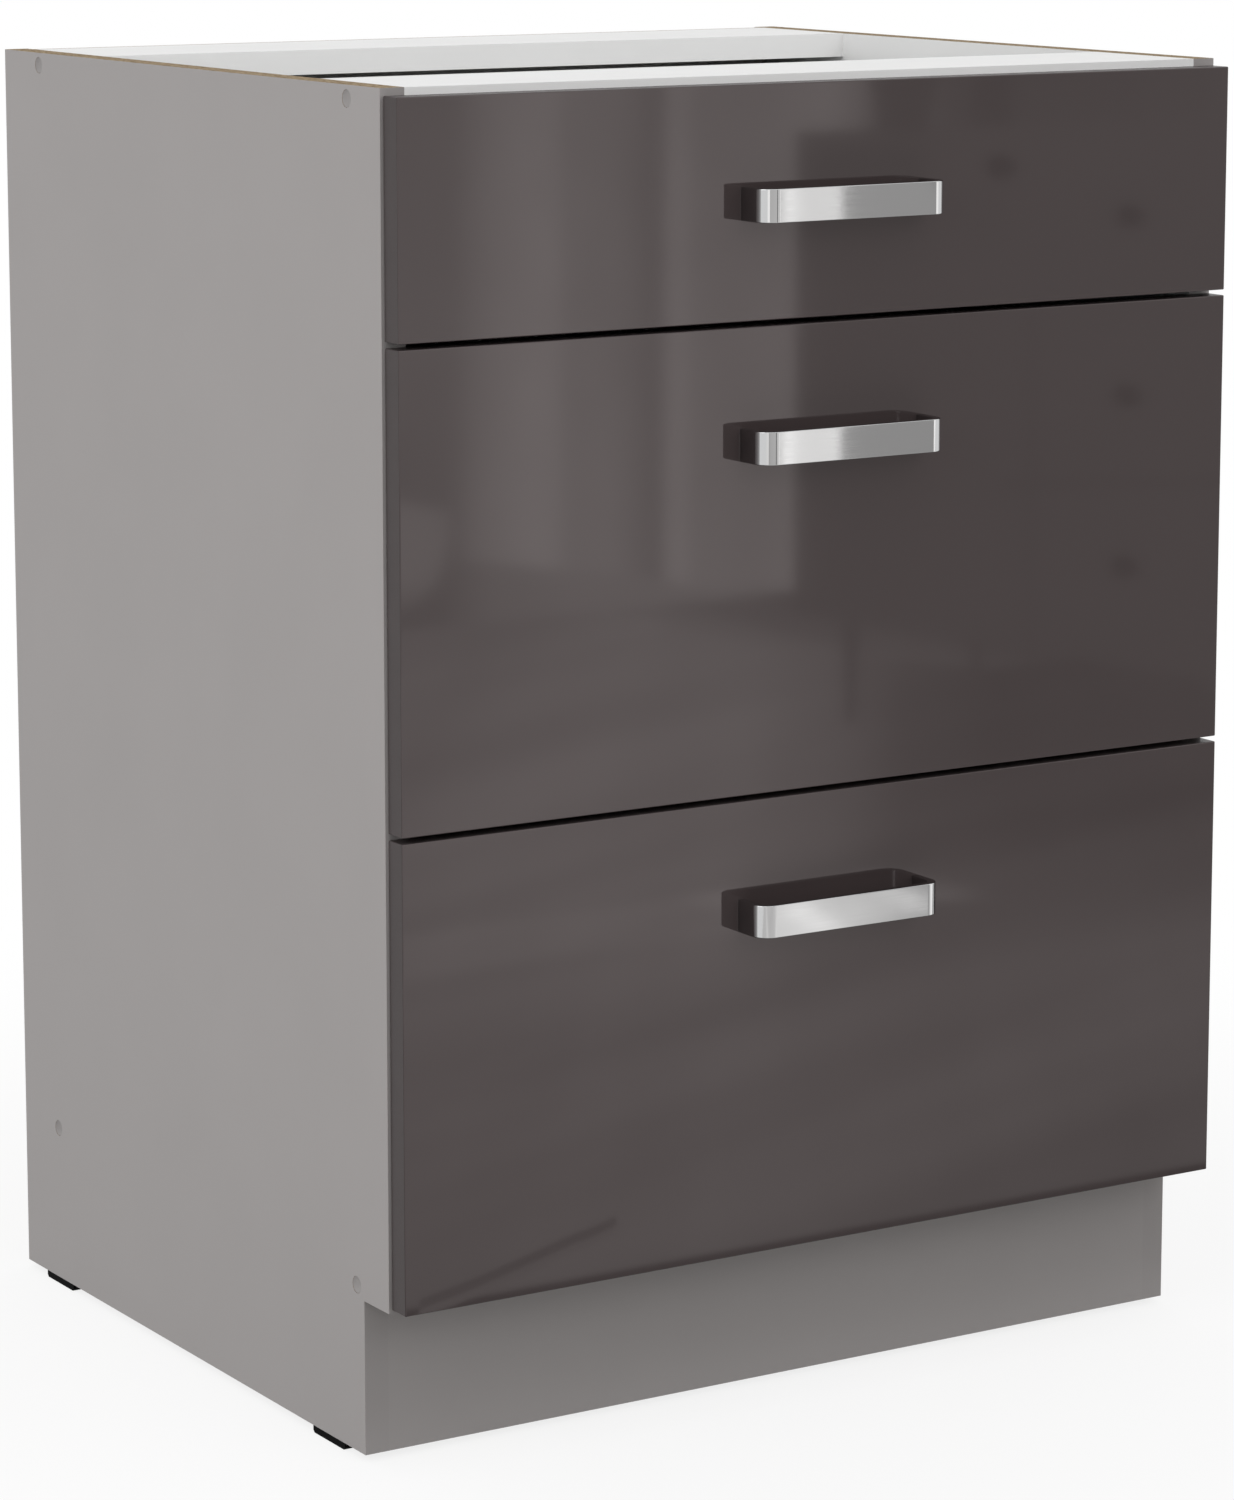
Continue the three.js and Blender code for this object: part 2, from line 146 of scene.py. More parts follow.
class Recipe(Nodes):
    """A finish with its colour, roughness and relief."""

    def __init__(self, name, colour, roughness, **sockets):
        super().__init__(name)
        self.colour = colour
        self.shader = self.tree.nodes["Principled BSDF"]
        self.shader.inputs["Base Color"].default_value = (*colour, 1.0)
        self.shader.inputs["Roughness"].default_value = roughness
        for socket, value in sockets.items():
            self.shader.inputs[socket.replace("_", " ")].default_value = value

    def drive(self, socket, value):
        self.tree.links.new(value, self.shader.inputs[socket])

    def cloud(self, size, share, detail=2.0):
        """Makes the colour lighter and darker by that share, in soft clouds."""
        darker, lighter = shade(self.colour, 1.0 - share), shade(self.colour, 1.0 + share)
        stops = (0.3, darker), (0.7, lighter)
        self.drive("Base Color", self.ramp(self.grain(size, detail), *stops))

    def relief(self, height, depth, strength=1.0):
        """Adds surface relief of that depth, in metres, on top of any that is there."""
        socket = self.shader.inputs["Normal"]
        inputs = {"Height": height, "Distance": depth, "Strength": strength}
        if socket.links:
            inputs["Normal"] = socket.links[0].from_socket
        bump = self.add("ShaderNodeBump", inputs)
        self.tree.links.new(bump.outputs["Normal"], socket)


def shade(colour, factor):
    return tuple(min(1.0, channel * factor) for channel in colour)


def melamine(name, colour, roughness=0.42, depth=0.02 * MM):
    """Melamine-faced board: an even colour with faint clouds and a fine pearl texture."""
    recipe = Recipe(name, colour, roughness)
    recipe.cloud(0.09, 0.015, detail=3.0)
    pearl = recipe.grain(0.8 * MM, roughness=0.6)
    recipe.drive("Roughness", recipe.between(pearl, roughness - 0.04, roughness + 0.05))
    recipe.relief(pearl, depth, 0.5)
    return recipe.material


def raw_chipboard(name, thin_axis):
    """A sawn edge of chipboard: coarse flakes, light and dark, that lie flat in the board."""
    sizes = [3.2 * MM] * 3
    sizes[thin_axis] = 0.9 * MM
    recipe = Recipe(name, (0.33, 0.262, 0.18), 0.9, Specular_IOR_Level=0.0)
    flakes = recipe.cells(tuple(sizes))
    gaps = recipe.cells(tuple(sizes), "DISTANCE_TO_EDGE")
    fibre = recipe.grain(tuple(0.35 * size for size in sizes), detail=4.0, roughness=0.65)
    colour = recipe.ramp(
        recipe.math("MULTIPLY_ADD", flakes.outputs["Color"], fibre, 0.25),
        (0.22, (0.15, 0.104, 0.060)),
        (0.42, (0.275, 0.208, 0.134)),
        (0.62, (0.40, 0.318, 0.216)),
        (0.85, (0.52, 0.43, 0.31)),
    )
    recipe.drive("Base Color", colour)
    recipe.relief(recipe.between(gaps.outputs["Distance"], 0.0, 1.0, 0.0, 0.18), 0.12 * MM, 0.7)
    recipe.relief(fibre, 0.06 * MM, 0.6)
    return recipe.material


def hardboard():
    """The bare rear face of the back: smooth brown fibreboard with fine fibres and wisps."""
    recipe = Recipe("bare_fibreboard", (0.25, 0.165, 0.10), 0.6, Specular_IOR_Level=0.3)
    fibre = recipe.grain((1.3 * MM, 1.3 * MM, 0.5 * MM), detail=5.0, roughness=0.7, distortion=1.2)
    wisps = recipe.grain((11 * MM, 11 * MM, 1.8 * MM), detail=3.0, distortion=2.5)
    clouds = recipe.grain(0.11)
    streaked = recipe.math("MULTIPLY_ADD", wisps, 0.45, fibre)
    colour = recipe.ramp(
        recipe.math("MULTIPLY_ADD", clouds, 0.2, streaked),
        (0.62, (0.155, 0.095, 0.053)),
        (0.82, (0.245, 0.162, 0.098)),
        (1.0, (0.33, 0.23, 0.148)),
    )
    recipe.drive("Base Color", colour)
    recipe.drive("Roughness", recipe.between(fibre, 0.5, 0.72))
    recipe.relief(fibre, 0.03 * MM, 0.5)
    return recipe.material


def gloss_lacquer():
    """The fronts: a deep even brown-grey under a mirror-smooth face with the slightest orange peel."""
    warm = (1.0, 0.93, 0.93, 1.0)
    recipe = Recipe("gloss_lacquer", (0.054, 0.042, 0.042), 0.045, IOR=1.65, Specular_Tint=warm)
    recipe.cloud(0.12, 0.02)
    dust = recipe.grain(1.1 * MM)
    recipe.drive("Roughness", recipe.between(dust, 0.035, 0.06))
    recipe.relief(recipe.grain(14 * MM, detail=1.0), 0.0022 * MM)
    return recipe.material


def polished_chrome():
    """Chrome with faint wiping marks along the bar."""
    recipe = Recipe("polished_chrome", (0.575, 0.578, 0.582), 0.06, Metallic=1.0)
    wipe = recipe.grain((30 * MM, 3 * MM, 0.6 * MM), detail=3.0, roughness=0.6)
    recipe.drive("Roughness", recipe.between(wipe, 0.045, 0.072))
    recipe.relief(recipe.grain(9 * MM), 0.004 * MM)
    return recipe.material


def powder_coat(name, colour, roughness=0.38):
    """Powder-coated sheet steel with its fine orange peel."""
    recipe = Recipe(name, colour, roughness)
    recipe.cloud(0.08, 0.02)
    peel = recipe.grain(1.6 * MM)
    recipe.drive("Roughness", recipe.between(peel, roughness - 0.05, roughness + 0.06))
    recipe.relief(peel, 0.03 * MM, 0.6)
    return recipe.material


def zinc_plate():
    """Bright zinc plating on rolled sheet: a faint spangle and long rolling marks."""
    recipe = Recipe("zinc_plate", (0.60, 0.61, 0.63), 0.32, Metallic=1.0)
    spangle = recipe.cells(7 * MM)
    rolled = recipe.grain((0.5 * MM, 40 * MM, 0.5 * MM), detail=3.0)
    dull, bright = (0.0, (0.54, 0.55, 0.57)), (1.0, (0.66, 0.67, 0.69))
    recipe.drive("Base Color", recipe.ramp(spangle.outputs["Color"], dull, bright))
    recipe.drive("Roughness", recipe.between(rolled, 0.25, 0.4))
    recipe.relief(rolled, 0.006 * MM)
    return recipe.material


def moulded(name, colour, roughness, grain=0.5 * MM, depth=0.015 * MM, **sockets):
    """Moulded plastic with a fine spark-eroded grain."""
    recipe = Recipe(name, colour, roughness, **sockets)
    recipe.cloud(0.02, 0.04)
    spark = recipe.grain(grain, detail=3.0, roughness=0.6)
    recipe.drive("Roughness", recipe.between(spark, roughness - 0.06, roughness + 0.08))
    recipe.relief(spark, depth, 0.6)
    return recipe.material


def bright_steel():
    """The turned and pressed steel of screws and nails."""
    recipe = Recipe("bright_steel", (0.63, 0.62, 0.60), 0.3, Metallic=1.0)
    scratches = recipe.grain(0.4 * MM, detail=3.0)
    recipe.drive("Roughness", recipe.between(scratches, 0.22, 0.42))
    recipe.relief(scratches, 0.01 * MM)
    return recipe.material


GREY_BOARD = (0.352, 0.3305, 0.325)
WHITE_BOARD = (0.80, 0.80, 0.795)

grey_board = melamine("grey_board", GREY_BOARD)
white_board = melamine("white_board", WHITE_BOARD, 0.38)
drawer_board = melamine("drawer_board", (0.70, 0.705, 0.70), 0.45, 0.03 * MM)
grey_edge_band = melamine("grey_edge_band", shade(GREY_BOARD, 0.97), 0.36, 0.01 * MM)
# Lighter than the white board: painted light that makes up for the shade on the rails' front edges
painted_light_white_edge_band = melamine("painted_light_white_edge_band", (0.90, 0.90, 0.895), 0.34, 0.01 * MM)
front_backing = melamine("front_backing", (0.50, 0.495, 0.49), 0.5)
side_chipboard = raw_chipboard("side_chipboard", X)
plinth_chipboard = raw_chipboard("plinth_chipboard", Y)
flat_chipboard = raw_chipboard("flat_chipboard", Z)
bare_fibreboard = hardboard()
lacquer = gloss_lacquer()
front_edge_band = moulded(
    "front_edge_band", (0.058, 0.047, 0.047), 0.34, 1.2 * MM, 0.008 * MM, Specular_IOR_Level=0.16
)
chrome = polished_chrome()
drawer_coat = powder_coat("drawer_coat", (0.66, 0.67, 0.675))
rail_coat = powder_coat("rail_coat", (0.69, 0.70, 0.705), 0.3)
runner_zinc = zinc_plate()
nylon = moulded("nylon", (0.80, 0.80, 0.77), 0.42, Subsurface_Weight=0.08)
black_plastic = moulded("black_plastic", (0.0045, 0.0045, 0.0045), 0.6, Specular_IOR_Level=0.02)
cap_plastic = moulded("cap_plastic", (0.30, 0.283, 0.277), 0.5, 0.7 * MM, 0.01 * MM)
socket_plastic = moulded("socket_plastic", (0.50, 0.505, 0.51), 0.45)
bumper_silicone = moulded("bumper_silicone", (0.62, 0.63, 0.63), 0.25, Transmission_Weight=0.5)
steel = bright_steel()


# ---- Mesh work ----------------------------------------------------------------------------------


def placed(name, data):
    """A new object in the scene."""
    made = bpy.data.objects.new(name, data)
    bpy.context.scene.collection.objects.link(made)
    return made


def merged_copy(*names):
    """Copies of CAD nodes as one mesh, their triangles merged back into flat faces."""
    shape = bmesh.new()
    for name in names:
        shape.from_mesh(frame["nodes"][name].data)
    bmesh.ops.remove_doubles(shape, verts=shape.verts, dist=0.002 * MM)
    flat = math.radians(0.5)
    bmesh.ops.dissolve_limit(shape, angle_limit=flat, verts=shape.verts, edges=shape.edges)
    return mesh_of(shape)


def mesh_of(shape):
    """The plain mesh of a bmesh, which is freed."""
    mesh = bpy.data.meshes.new("mesh")
    shape.to_mesh(mesh)
    shape.free()
    for attribute in [a for a in mesh.attributes if a.name == "custom_normal"]:
        mesh.attributes.remove(attribute)
    mesh.materials.clear()
    return mesh


def paint(mesh, materials, rule):
    """Gives each face the material whose index rule(centre, normal) returns."""
    for material in materials:
        mesh.materials.append(material)
    for face in mesh.polygons:
        face.material_index = rule(face.center, face.normal)
    return mesh


def plain(mesh, material):
    return paint(mesh, [material], lambda centre, normal: 0)


def smooth(mesh, sharp_over):
    """Smooth shading, but for the edges that bend by more than that angle, in degrees."""
    mesh.polygons.foreach_set("use_smooth", [True] * len(mesh.polygons))
    mesh.set_sharp_from_angle(angle=math.radians(sharp_over))
    return mesh


def applied(thing):
    """What an object's modifiers make of it, as a plain mesh; the object is removed."""
    evaluated = thing.evaluated_get(bpy.context.evaluated_depsgraph_get())
    mesh = bpy.data.meshes.new_from_object(evaluated)
    thing.modifiers.clear()
    thing.data = mesh
    bpy.data.objects.remove(thing)
    return mesh


def edged(mesh, width, segments=3, smooth_under=40.0, square=None):
    """The mesh with its sharp edges rounded by that width, but for those that `square` keeps."""
    limit = math.radians(smooth_under)
    shape = bmesh.new()
    shape.from_mesh(mesh)
    weight = shape.edges.layers.float.new("bevel_weight_edge")
    for edge in shape.edges:
        if len(edge.link_faces) == 2 and edge.calc_face_angle(0.0) > limit:
            middle = (edge.verts[0].co + edge.verts[1].co) / 2
            edge[weight] = 0.0 if square and square(middle) else 1.0
    shape.to_mesh(mesh)
    shape.free()
    thing = placed("edging", smooth(mesh, smooth_under))
    bevel = thing.modifiers.new("edge", "BEVEL")
    bevel.width = width
    bevel.segments = segments
    bevel.limit_method = "WEIGHT"
    bevel.harden_normals = True
    return applied(thing)


def turned(profile, centre=ORIGIN, axis=Z, segments=48):
    """A closed profile of (radius, distance) turned round a line along an axis through centre."""
    shape = bmesh.new()
    centre = Vector(centre)
    along = Vector([1.0 if i == axis else 0.0 for i in range(3)])
    first = Vector([1.0 if i == (axis + 1) % 3 else 0.0 for i in range(3)])
    second = along.cross(first)
    rings = []
    for radius, distance in profile:
        if radius == 0.0:
            rings.append([shape.verts.new(centre + along * distance)])
            continue
        ring = []
        for step in range(segments):
            angle = 2.0 * math.pi * step / segments
            out = first * math.cos(angle) + second * math.sin(angle)
            ring.append(shape.verts.new(centre + along * distance + out * radius))
        rings.append(ring)
    closes = profile[0][0] != 0.0
    pairs = list(zip(rings, rings[1:])) + ([(rings[-1], rings[0])] if closes else [])
    for lower, upper in pairs:
        for step in range(segments):
            ahead = (step + 1) % segments
            corners = [
                lower[step % len(lower)],
                lower[ahead % len(lower)],
                upper[ahead % len(upper)],
                upper[step % len(upper)],
            ]
            corners = list(dict.fromkeys(corners))
            if len(corners) > 2:
                shape.faces.new(corners)
    bmesh.ops.recalc_face_normals(shape, faces=shape.faces)
    return smooth(mesh_of(shape), 40.0)


def joined(meshes):
    """Several meshes as one, each face keeping its material."""
    materials = []
    shape = bmesh.new()
    for mesh in meshes:
        slots = []
        for material in mesh.materials:
            if material not in materials:
                materials.append(material)
            slots.append(materials.index(material))
        before = len(shape.faces)
        shape.from_mesh(mesh)
        shape.faces.ensure_lookup_table()
        for face in shape.faces[before:]:
            face.material_index = slots[face.material_index]
    result = mesh_of(shape)
    for material in materials:
        result.materials.append(material)
    return result


def piece(name, mesh, body, stands_for=()):
    """A finished piece that rides on a body and stands for the CAD nodes named."""
    mesh.name = name
    made = placed(name, mesh)
    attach(made, body)
    if stands_for:
        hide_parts(*stands_for)


# ---- Rows of fasteners --------------------------------------------------------------------------


def fastener_rows_tree():
    """Geometry nodes: copies of the incoming fastener in rows and columns, each turned about its own
    axis by chance, then laid over so that its axis points the asked way."""
    tree = bpy.data.node_groups.new("fastener_rows", "GeometryNodeTree")
    face = tree.interface
    face.new_socket("Geometry", in_out="INPUT", socket_type="NodeSocketGeometry")
    for name, kind in (
        ("Columns", "NodeSocketInt"),
        ("Rows", "NodeSocketInt"),
        ("First", "NodeSocketVector"),
        ("Column Step", "NodeSocketVector"),
        ("Row Step", "NodeSocketVector"),
        ("Lay", "NodeSocketVector"),
        ("Turn Range", "NodeSocketFloat"),
        ("Seed", "NodeSocketInt"),
        ("Finish", "NodeSocketMaterial"),
    ):
        face.new_socket(name, in_out="INPUT", socket_type=kind)
    face.new_socket("Geometry", in_out="OUTPUT", socket_type="NodeSocketGeometry")

    def add(kind, inputs=None, **settings):
        return add_node(tree, kind, inputs, **settings)

    given = add("NodeGroupInput").outputs
    limits = {"Max": given["Turn Range"], "Seed": given["Seed"]}
    chance = add("FunctionNodeRandomValue", limits, data_type="FLOAT")
    spin = add("ShaderNodeCombineXYZ", {"Z": chance.outputs[1]})
    line = {"Count": given["Columns"], "Start Location": given["First"], "Offset": given["Column Step"]}
    columns = add("GeometryNodeMeshLine", line, mode="OFFSET").outputs["Mesh"]
    line = {"Count": given["Rows"], "Offset": given["Row Step"]}
    rows = add("GeometryNodeMeshLine", line, mode="OFFSET").outputs["Mesh"]
    laying = {"Points": columns, "Instance": given["Geometry"], "Rotation": given["Lay"]}
    laid = add("GeometryNodeInstanceOnPoints", laying).outputs["Instances"]
    turning = {"Instances": laid, "Rotation": spin.outputs["Vector"], "Local Space": True}
    spun = add("GeometryNodeRotateInstances", turning).outputs["Instances"]
    grid = add("GeometryNodeInstanceOnPoints", {"Points": rows, "Instance": spun}).outputs["Instances"]
    real = add("GeometryNodeRealizeInstances", {"Geometry": grid}).outputs["Geometry"]
    finished = add("GeometryNodeSetMaterial", {"Geometry": real, "Material": given["Finish"]})
    add("NodeGroupOutput", {"Geometry": finished.outputs["Geometry"]})
    return tree


fastener_rows = fastener_rows_tree()

# Euler angles that lay a fastener, whose head points along +Z, along another way
FACING = {
    "+X": (0.0, math.pi / 2, 0.0),
    "-X": (0.0, -math.pi / 2, 0.0),
    "+Y": (-math.pi / 2, 0.0, 0.0),
}


def fasteners(
    fastener, first, facing, finish, columns=1, step=(0, 0, 0), rows=1, row_step=(0, 0, 0), seed=4
):
    """Rows of a fastener as a plain mesh, each turned by chance about its own axis."""
    thing = placed("fastener", fastener)
    modifier = thing.modifiers.new("rows", "NODES")
    modifier.node_group = fastener_rows
    values = {
        "Columns": columns,
        "Rows": rows,
        "First": first,
        "Column Step": step,
        "Row Step": row_step,
        "Lay": FACING[facing],
        "Turn Range": math.pi,
        "Seed": seed,
        "Finish": finish,
    }
    for socket in fastener_rows.interface.items_tree:
        if socket.in_out == "INPUT" and socket.name in values:
            modifier[socket.identifier] = values[socket.name]
    return applied(thing)


def cross_head(radius, height, recess):
    """A low domed screw head with a cross recess, its seat at the origin."""
    rim = 0.25 * height
    neck, neck_depth = 0.6 * radius, 0.2 * height
    steps = 6
    profile = [(0.0, -neck_depth), (neck, -neck_depth), (neck, 0.0), (radius, 0.0), (radius, rim)]
    for step in range(1, steps):
        angle = 0.5 * math.pi * step / steps
        profile.append((radius * math.cos(angle), rim + (height - rim) * math.sin(angle)))
    profile.append((0.0, height))
    arm = bmesh.new()
    length, width = 1.1 * radius, 0.24 * radius
    for size in ((length, width, recess), (width, length, recess)):
        for vert in bmesh.ops.create_cube(arm, size=1.0)["verts"]:
            vert.co = Vector(c * s for c, s in zip(vert.co, size)) + Vector((0, 0, height))
    cutter = placed("recess", mesh_of(arm))
    thing = placed("head", turned(profile, segments=32))
    cut = thing.modifiers.new("recess", "BOOLEAN")
    cut.operation = "DIFFERENCE"
    cut.solver = "EXACT"
    cut.use_self = True
    cut.object = cutter
    result = applied(thing)
    bpy.data.objects.remove(cutter)
    return smooth(result, 35.0)


# ---- Carcass ------------------------------------------------------------------------------------

left_low, left_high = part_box("side_panel_left")
outer_x = -left_low.x
inner_x = -left_high.x
carcass_front_y = left_low.y
plinth_face_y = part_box("plinth_board")[0].y

# How near a place counts as lying on a face, and how squarely a face counts as facing a way
NEAR = 0.3 * MM
FACES_IT = 0.9

# The steel of runners and drawer sides, and the screws and glides of the sides
SHEET = 1.2 * MM
SCREW_PLACES = ("top_front", "top_rear", "bottom_front", "bottom_rear")
SCREW_BORE_REACH = 6.0 * MM
GLIDE_INSET = 0.1 * MM


def screw_seat(node, sign):
    """Where a carcass screw's cap meets the outer face of its side."""
    low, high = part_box(node)
    return (sign * outer_x, (low.y + high.y) / 2, (low.z + high.z) / 2)


def against_a_side(place):
    return abs(abs(place.x) - inner_x) < NEAR


def dress_side(label, sign):
    """A side: grey outside and on its banded front edges, white inside, sawn edges elsewhere."""

    def rule(centre, normal):
        if normal.x * sign > FACES_IT and abs(centre.x) > outer_x - NEAR:
            return 0
        if normal.x * sign < -FACES_IT and against_a_side(centre):
            return 1
        on_front = abs(centre.y - carcass_front_y) < NEAR or abs(centre.y - plinth_face_y) < NEAR
        if normal.y < -FACES_IT and on_front:
            return 2
        return 3

    seats = [Vector(screw_seat(f"carcass_screw_{place}_{label}", sign)) for place in SCREW_PLACES]

    def close_fitting(place):
        if abs(abs(place.x) - outer_x) < NEAR:
            return any((place - seat).length < SCREW_BORE_REACH for seat in seats)
        return against_a_side(place) and abs(place.y - plinth_face_y) < NEAR

    node = f"side_panel_{label}"
    mesh = paint(merged_copy(node), [grey_board, white_board, grey_edge_band, side_chipboard], rule)
    mesh = edged(mesh, BOARD_EDGE, 2, square=close_fitting)
    piece(f"side_board_{label}", mesh, "carcass", [node])


def dress_cross_board(node, name, front_finish):
    """A flat board between the sides, with one banded edge to the front."""
    low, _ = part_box(node)

    def rule(centre, normal):
        if abs(normal.z) > FACES_IT:
            return 0
        return 1 if normal.y < -FACES_IT and abs(centre.y - low.y) < NEAR else 2

    mesh = paint(merged_copy(node), [white_board, front_finish, flat_chipboard], rule)
    mesh = edged(mesh, BOARD_EDGE, 2, square=against_a_side)
    piece(name, mesh, "carcass", [node])


def front_rear_or_edge(centre, normal):
    """0 for a board's face to the front, 1 for its rear face and 2 for its edges."""
    if normal.y < -FACES_IT:
        return 0
    return 1 if normal.y > FACES_IT else 2


def dress_plinth():
    """The plinth: grey to the front, white behind, sawn edges round it."""
    finishes = [grey_board, white_board, plinth_chipboard]
    mesh = paint(merged_copy("plinth_board"), finishes, front_rear_or_edge)
    mesh = edged(mesh, BOARD_EDGE, 2, square=against_a_side)
    piece("plinth", mesh, "carcass", ["plinth_board"])


def dress_back():
    """The back, white inside and bare fibreboard behind and on its edges."""

    def rule(centre, normal):
        return 0 if normal.y < -FACES_IT else 1

    mesh = paint(merged_copy("back_board"), [white_board, bare_fibreboard], rule)
    mesh = edged(mesh, BACK_EDGE, 1)
    piece("cabinet_back", mesh, "carcass", ["back_board"])


def dress_glides():
    """The black glides, nearly flush with the outer faces of the sides that they carry."""
    nodes = [f"foot_{row}_{label}" for row in ("front", "rear") for label, _ in SIDES]
    mesh = merged_copy(*nodes)
    outer_half = outer_x - 2 * MM
    for vertex in mesh.vertices:
        if abs(vertex.co.x) > outer_half:
            vertex.co.x = math.copysign(outer_x - GLIDE_INSET, vertex.co.x)
    mesh = edged(plain(mesh, black_plastic), GLIDE_EDGE, 2)
    piece("glides", mesh, "carcass", nodes)


def screw_cap(radius, depth):
    """The cap of a carcass screw, just under the origin: a shallow dish inside a soft rim."""
    dish = [(0.0, -1.1 * MM), (0.3 * radius, -1.05 * MM), (0.6 * radius, -0.85 * MM)]
    rim = [(0.82 * radius, -0.5 * MM), (radius - 0.2 * MM, -0.12 * MM), (radius, -0.1 * MM)]
    return turned(dish + rim + [(radius, -depth), (0.0, -depth)])


def screw_core(radius, depth, length):
    """The steel under the cap: its neck, a plain shank and the thread, down to the tip."""
    neck = 0.9 * radius
    shank = 3.4 * MM
    root, crest, pitch = 1.9 * MM, 2.4 * MM, 2.0 * MM
    profile = [(0.0, -depth), (neck, -depth), (neck, -depth - 1.0 * MM)]
    profile += [(shank, -5.0 * MM), (shank, -16.0 * MM)]
    turn = 16.0 * MM
    while turn < length - 2 * pitch:
        profile += [(root, -turn - 0.2 * pitch), (crest, -turn - 0.6 * pitch)]
        turn += pitch
    profile += [(1.4 * MM, -length + 1.0 * MM), (0.0, -length)]
    return turned(profile, segments=20)


def dress_carcass_screws():
    """The capped screws of the sides, each in its bore."""
    depth = 1.8 * MM
    meshes = []
    nodes = []
    for place in SCREW_PLACES:
        for label, sign in SIDES:
            node = f"carcass_screw_{place}_{label}"
            low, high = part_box(node)
            radius = (high.z - low.z) / 2
            where = screw_seat(node, sign)
            outwards = "+X" if sign > 0 else "-X"
            meshes.append(fasteners(screw_cap(radius, depth), where, outwards, cap_plastic))
            core = screw_core(radius, depth, high.x - low.x)
            meshes.append(fasteners(core, where, outwards, steel))
            nodes.append(node)
    piece("capped_screws", joined(meshes), "carcass", nodes)


def dress_back_nails():
    """Small nail heads along the edges of the back, into the bottom board and the rear rail."""
    shank, head = 0.7 * MM, 1.8 * MM
    profile = [(0.0, -1.0 * MM), (shank, -1.0 * MM), (shank, 0.0), (head, 0.0)]
    profile += [(1.7 * MM, 0.3 * MM), (1.1 * MM, 0.45 * MM), (0.0, 0.5 * MM)]
    nail = turned(profile, segments=20)
    rear_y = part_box("back_board")[1].y
    spacing = 88.0 * MM
    count = 7
    meshes = []
    for board in ("bottom_board", "top_rail_rear"):
        low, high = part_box(board)
        first = (-spacing * (count - 1) / 2, rear_y, (low.z + high.z) / 2)
        meshes.append(fasteners(nail, first, "+Y", steel, count, (spacing, 0, 0)))
    piece("back_nails", joined(meshes), "carcass")


# ---- Runners and rollers ------------------------------------------------------------------------


def dress_runners():
    """The zinc channels, each fixed by three flat screws through its web."""
    screw = cross_head(3.4 * MM, 1.15 * MM, 1.2 * MM)
    first_screw, screw_step = 64 * MM, 160 * MM
    for level in DRAWERS:
        for label, sign in SIDES:
            node = f"{level}_runner_{label}"
            low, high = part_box(node)
            mesh = edged(plain(merged_copy(node), runner_zinc), SHEET_EDGE, 2)
            piece(f"{level}_channel_{label}", mesh, "carcass", [node])
            first = (sign * (inner_x - SHEET), carcass_front_y + first_screw, (low.z + high.z) / 2)
            inwards = "-X" if sign > 0 else "+X"
            heads = fasteners(screw, first, inwards, steel, 3, (0, screw_step, 0), seed=7)
            piece(f"{level}_channel_screws_{label}", heads, "carcass")


def roller_profile(radius, width):
    """A roller from its open face on: a hub, a hollow round it and a softened tread."""
    bore, hub = 2.8 * MM, 4.6 * MM
    hollow = 0.9 * MM
    soft = 0.5 * MM
    return [
        (bore, 0.0),
        (hub, 0.0),
        (hub + 0.4 * MM, hollow),
        (radius - 1.8 * MM, hollow),
        (radius - 1.4 * MM, 0.1 * MM),
        (radius - soft, 0.0),
        (radius - 0.3 * soft, 0.3 * soft),
        (radius, soft),
        (radius, width - soft),
        (radius - 0.3 * soft, width - 0.3 * soft),
        (radius - soft, width),
        (bore, width),
    ]


def dress_rollers():
    """Nylon rollers, each with its open face towards the middle of the cabinet."""
    for level in DRAWERS:
        for kind in ("runner_roller", "drawer_roller"):
            for label, sign in SIDES:
                node = f"{level}_{kind}_{label}"
                low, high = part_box(node)
                face_x = low.x if sign > 0 else high.x
                profile = roller_profile((high.z - low.z) / 2, high.x - low.x)
                profile = [(radius, sign * distance) for radius, distance in profile]
                centre = (face_x, (low.y + high.y) / 2, (low.z + high.z) / 2)
                wheel = plain(turned(profile, centre, X), nylon)
                piece(f"{level}_{kind}_wheel_{label}", wheel, BODY_OF[node], [node])


# ---- Drawers ------------------------------------------------------------------------------------


def dress_front(level):
    """A front: gloss on its face, satin banded edges, matt behind, with bumpers against the carcass."""
    node = f"{level}_front"
    low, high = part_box(node)
    finishes = [lacquer, front_backing, front_edge_band]
    mesh = paint(merged_copy(node), finishes, front_rear_or_edge)
    piece(f"{level}_gloss_front", edged(mesh, FRONT_EDGE, 4), f"{level}_drawer", [node])
    inset = 14.0 * MM
    profile = [(0.0, 0.0), (3.6 * MM, 0.0), (3.4 * MM, 0.35 * MM), (2.4 * MM, 0.75 * MM)]
    bumper = turned(profile + [(0.0, 0.9 * MM)], segments=24)
    side_x = (outer_x + inner_x) / 2
    first = (-side_x, high.y, low.z + inset)
    across = (2 * side_x, 0, 0)
    upwards = (0, 0, high.z - low.z - 2 * inset)
    bumpers = fasteners(bumper, first, "+Y", bumper_silicone, 2, across, 2, upwards)
    piece(f"{level}_front_bumpers", bumpers, f"{level}_drawer")


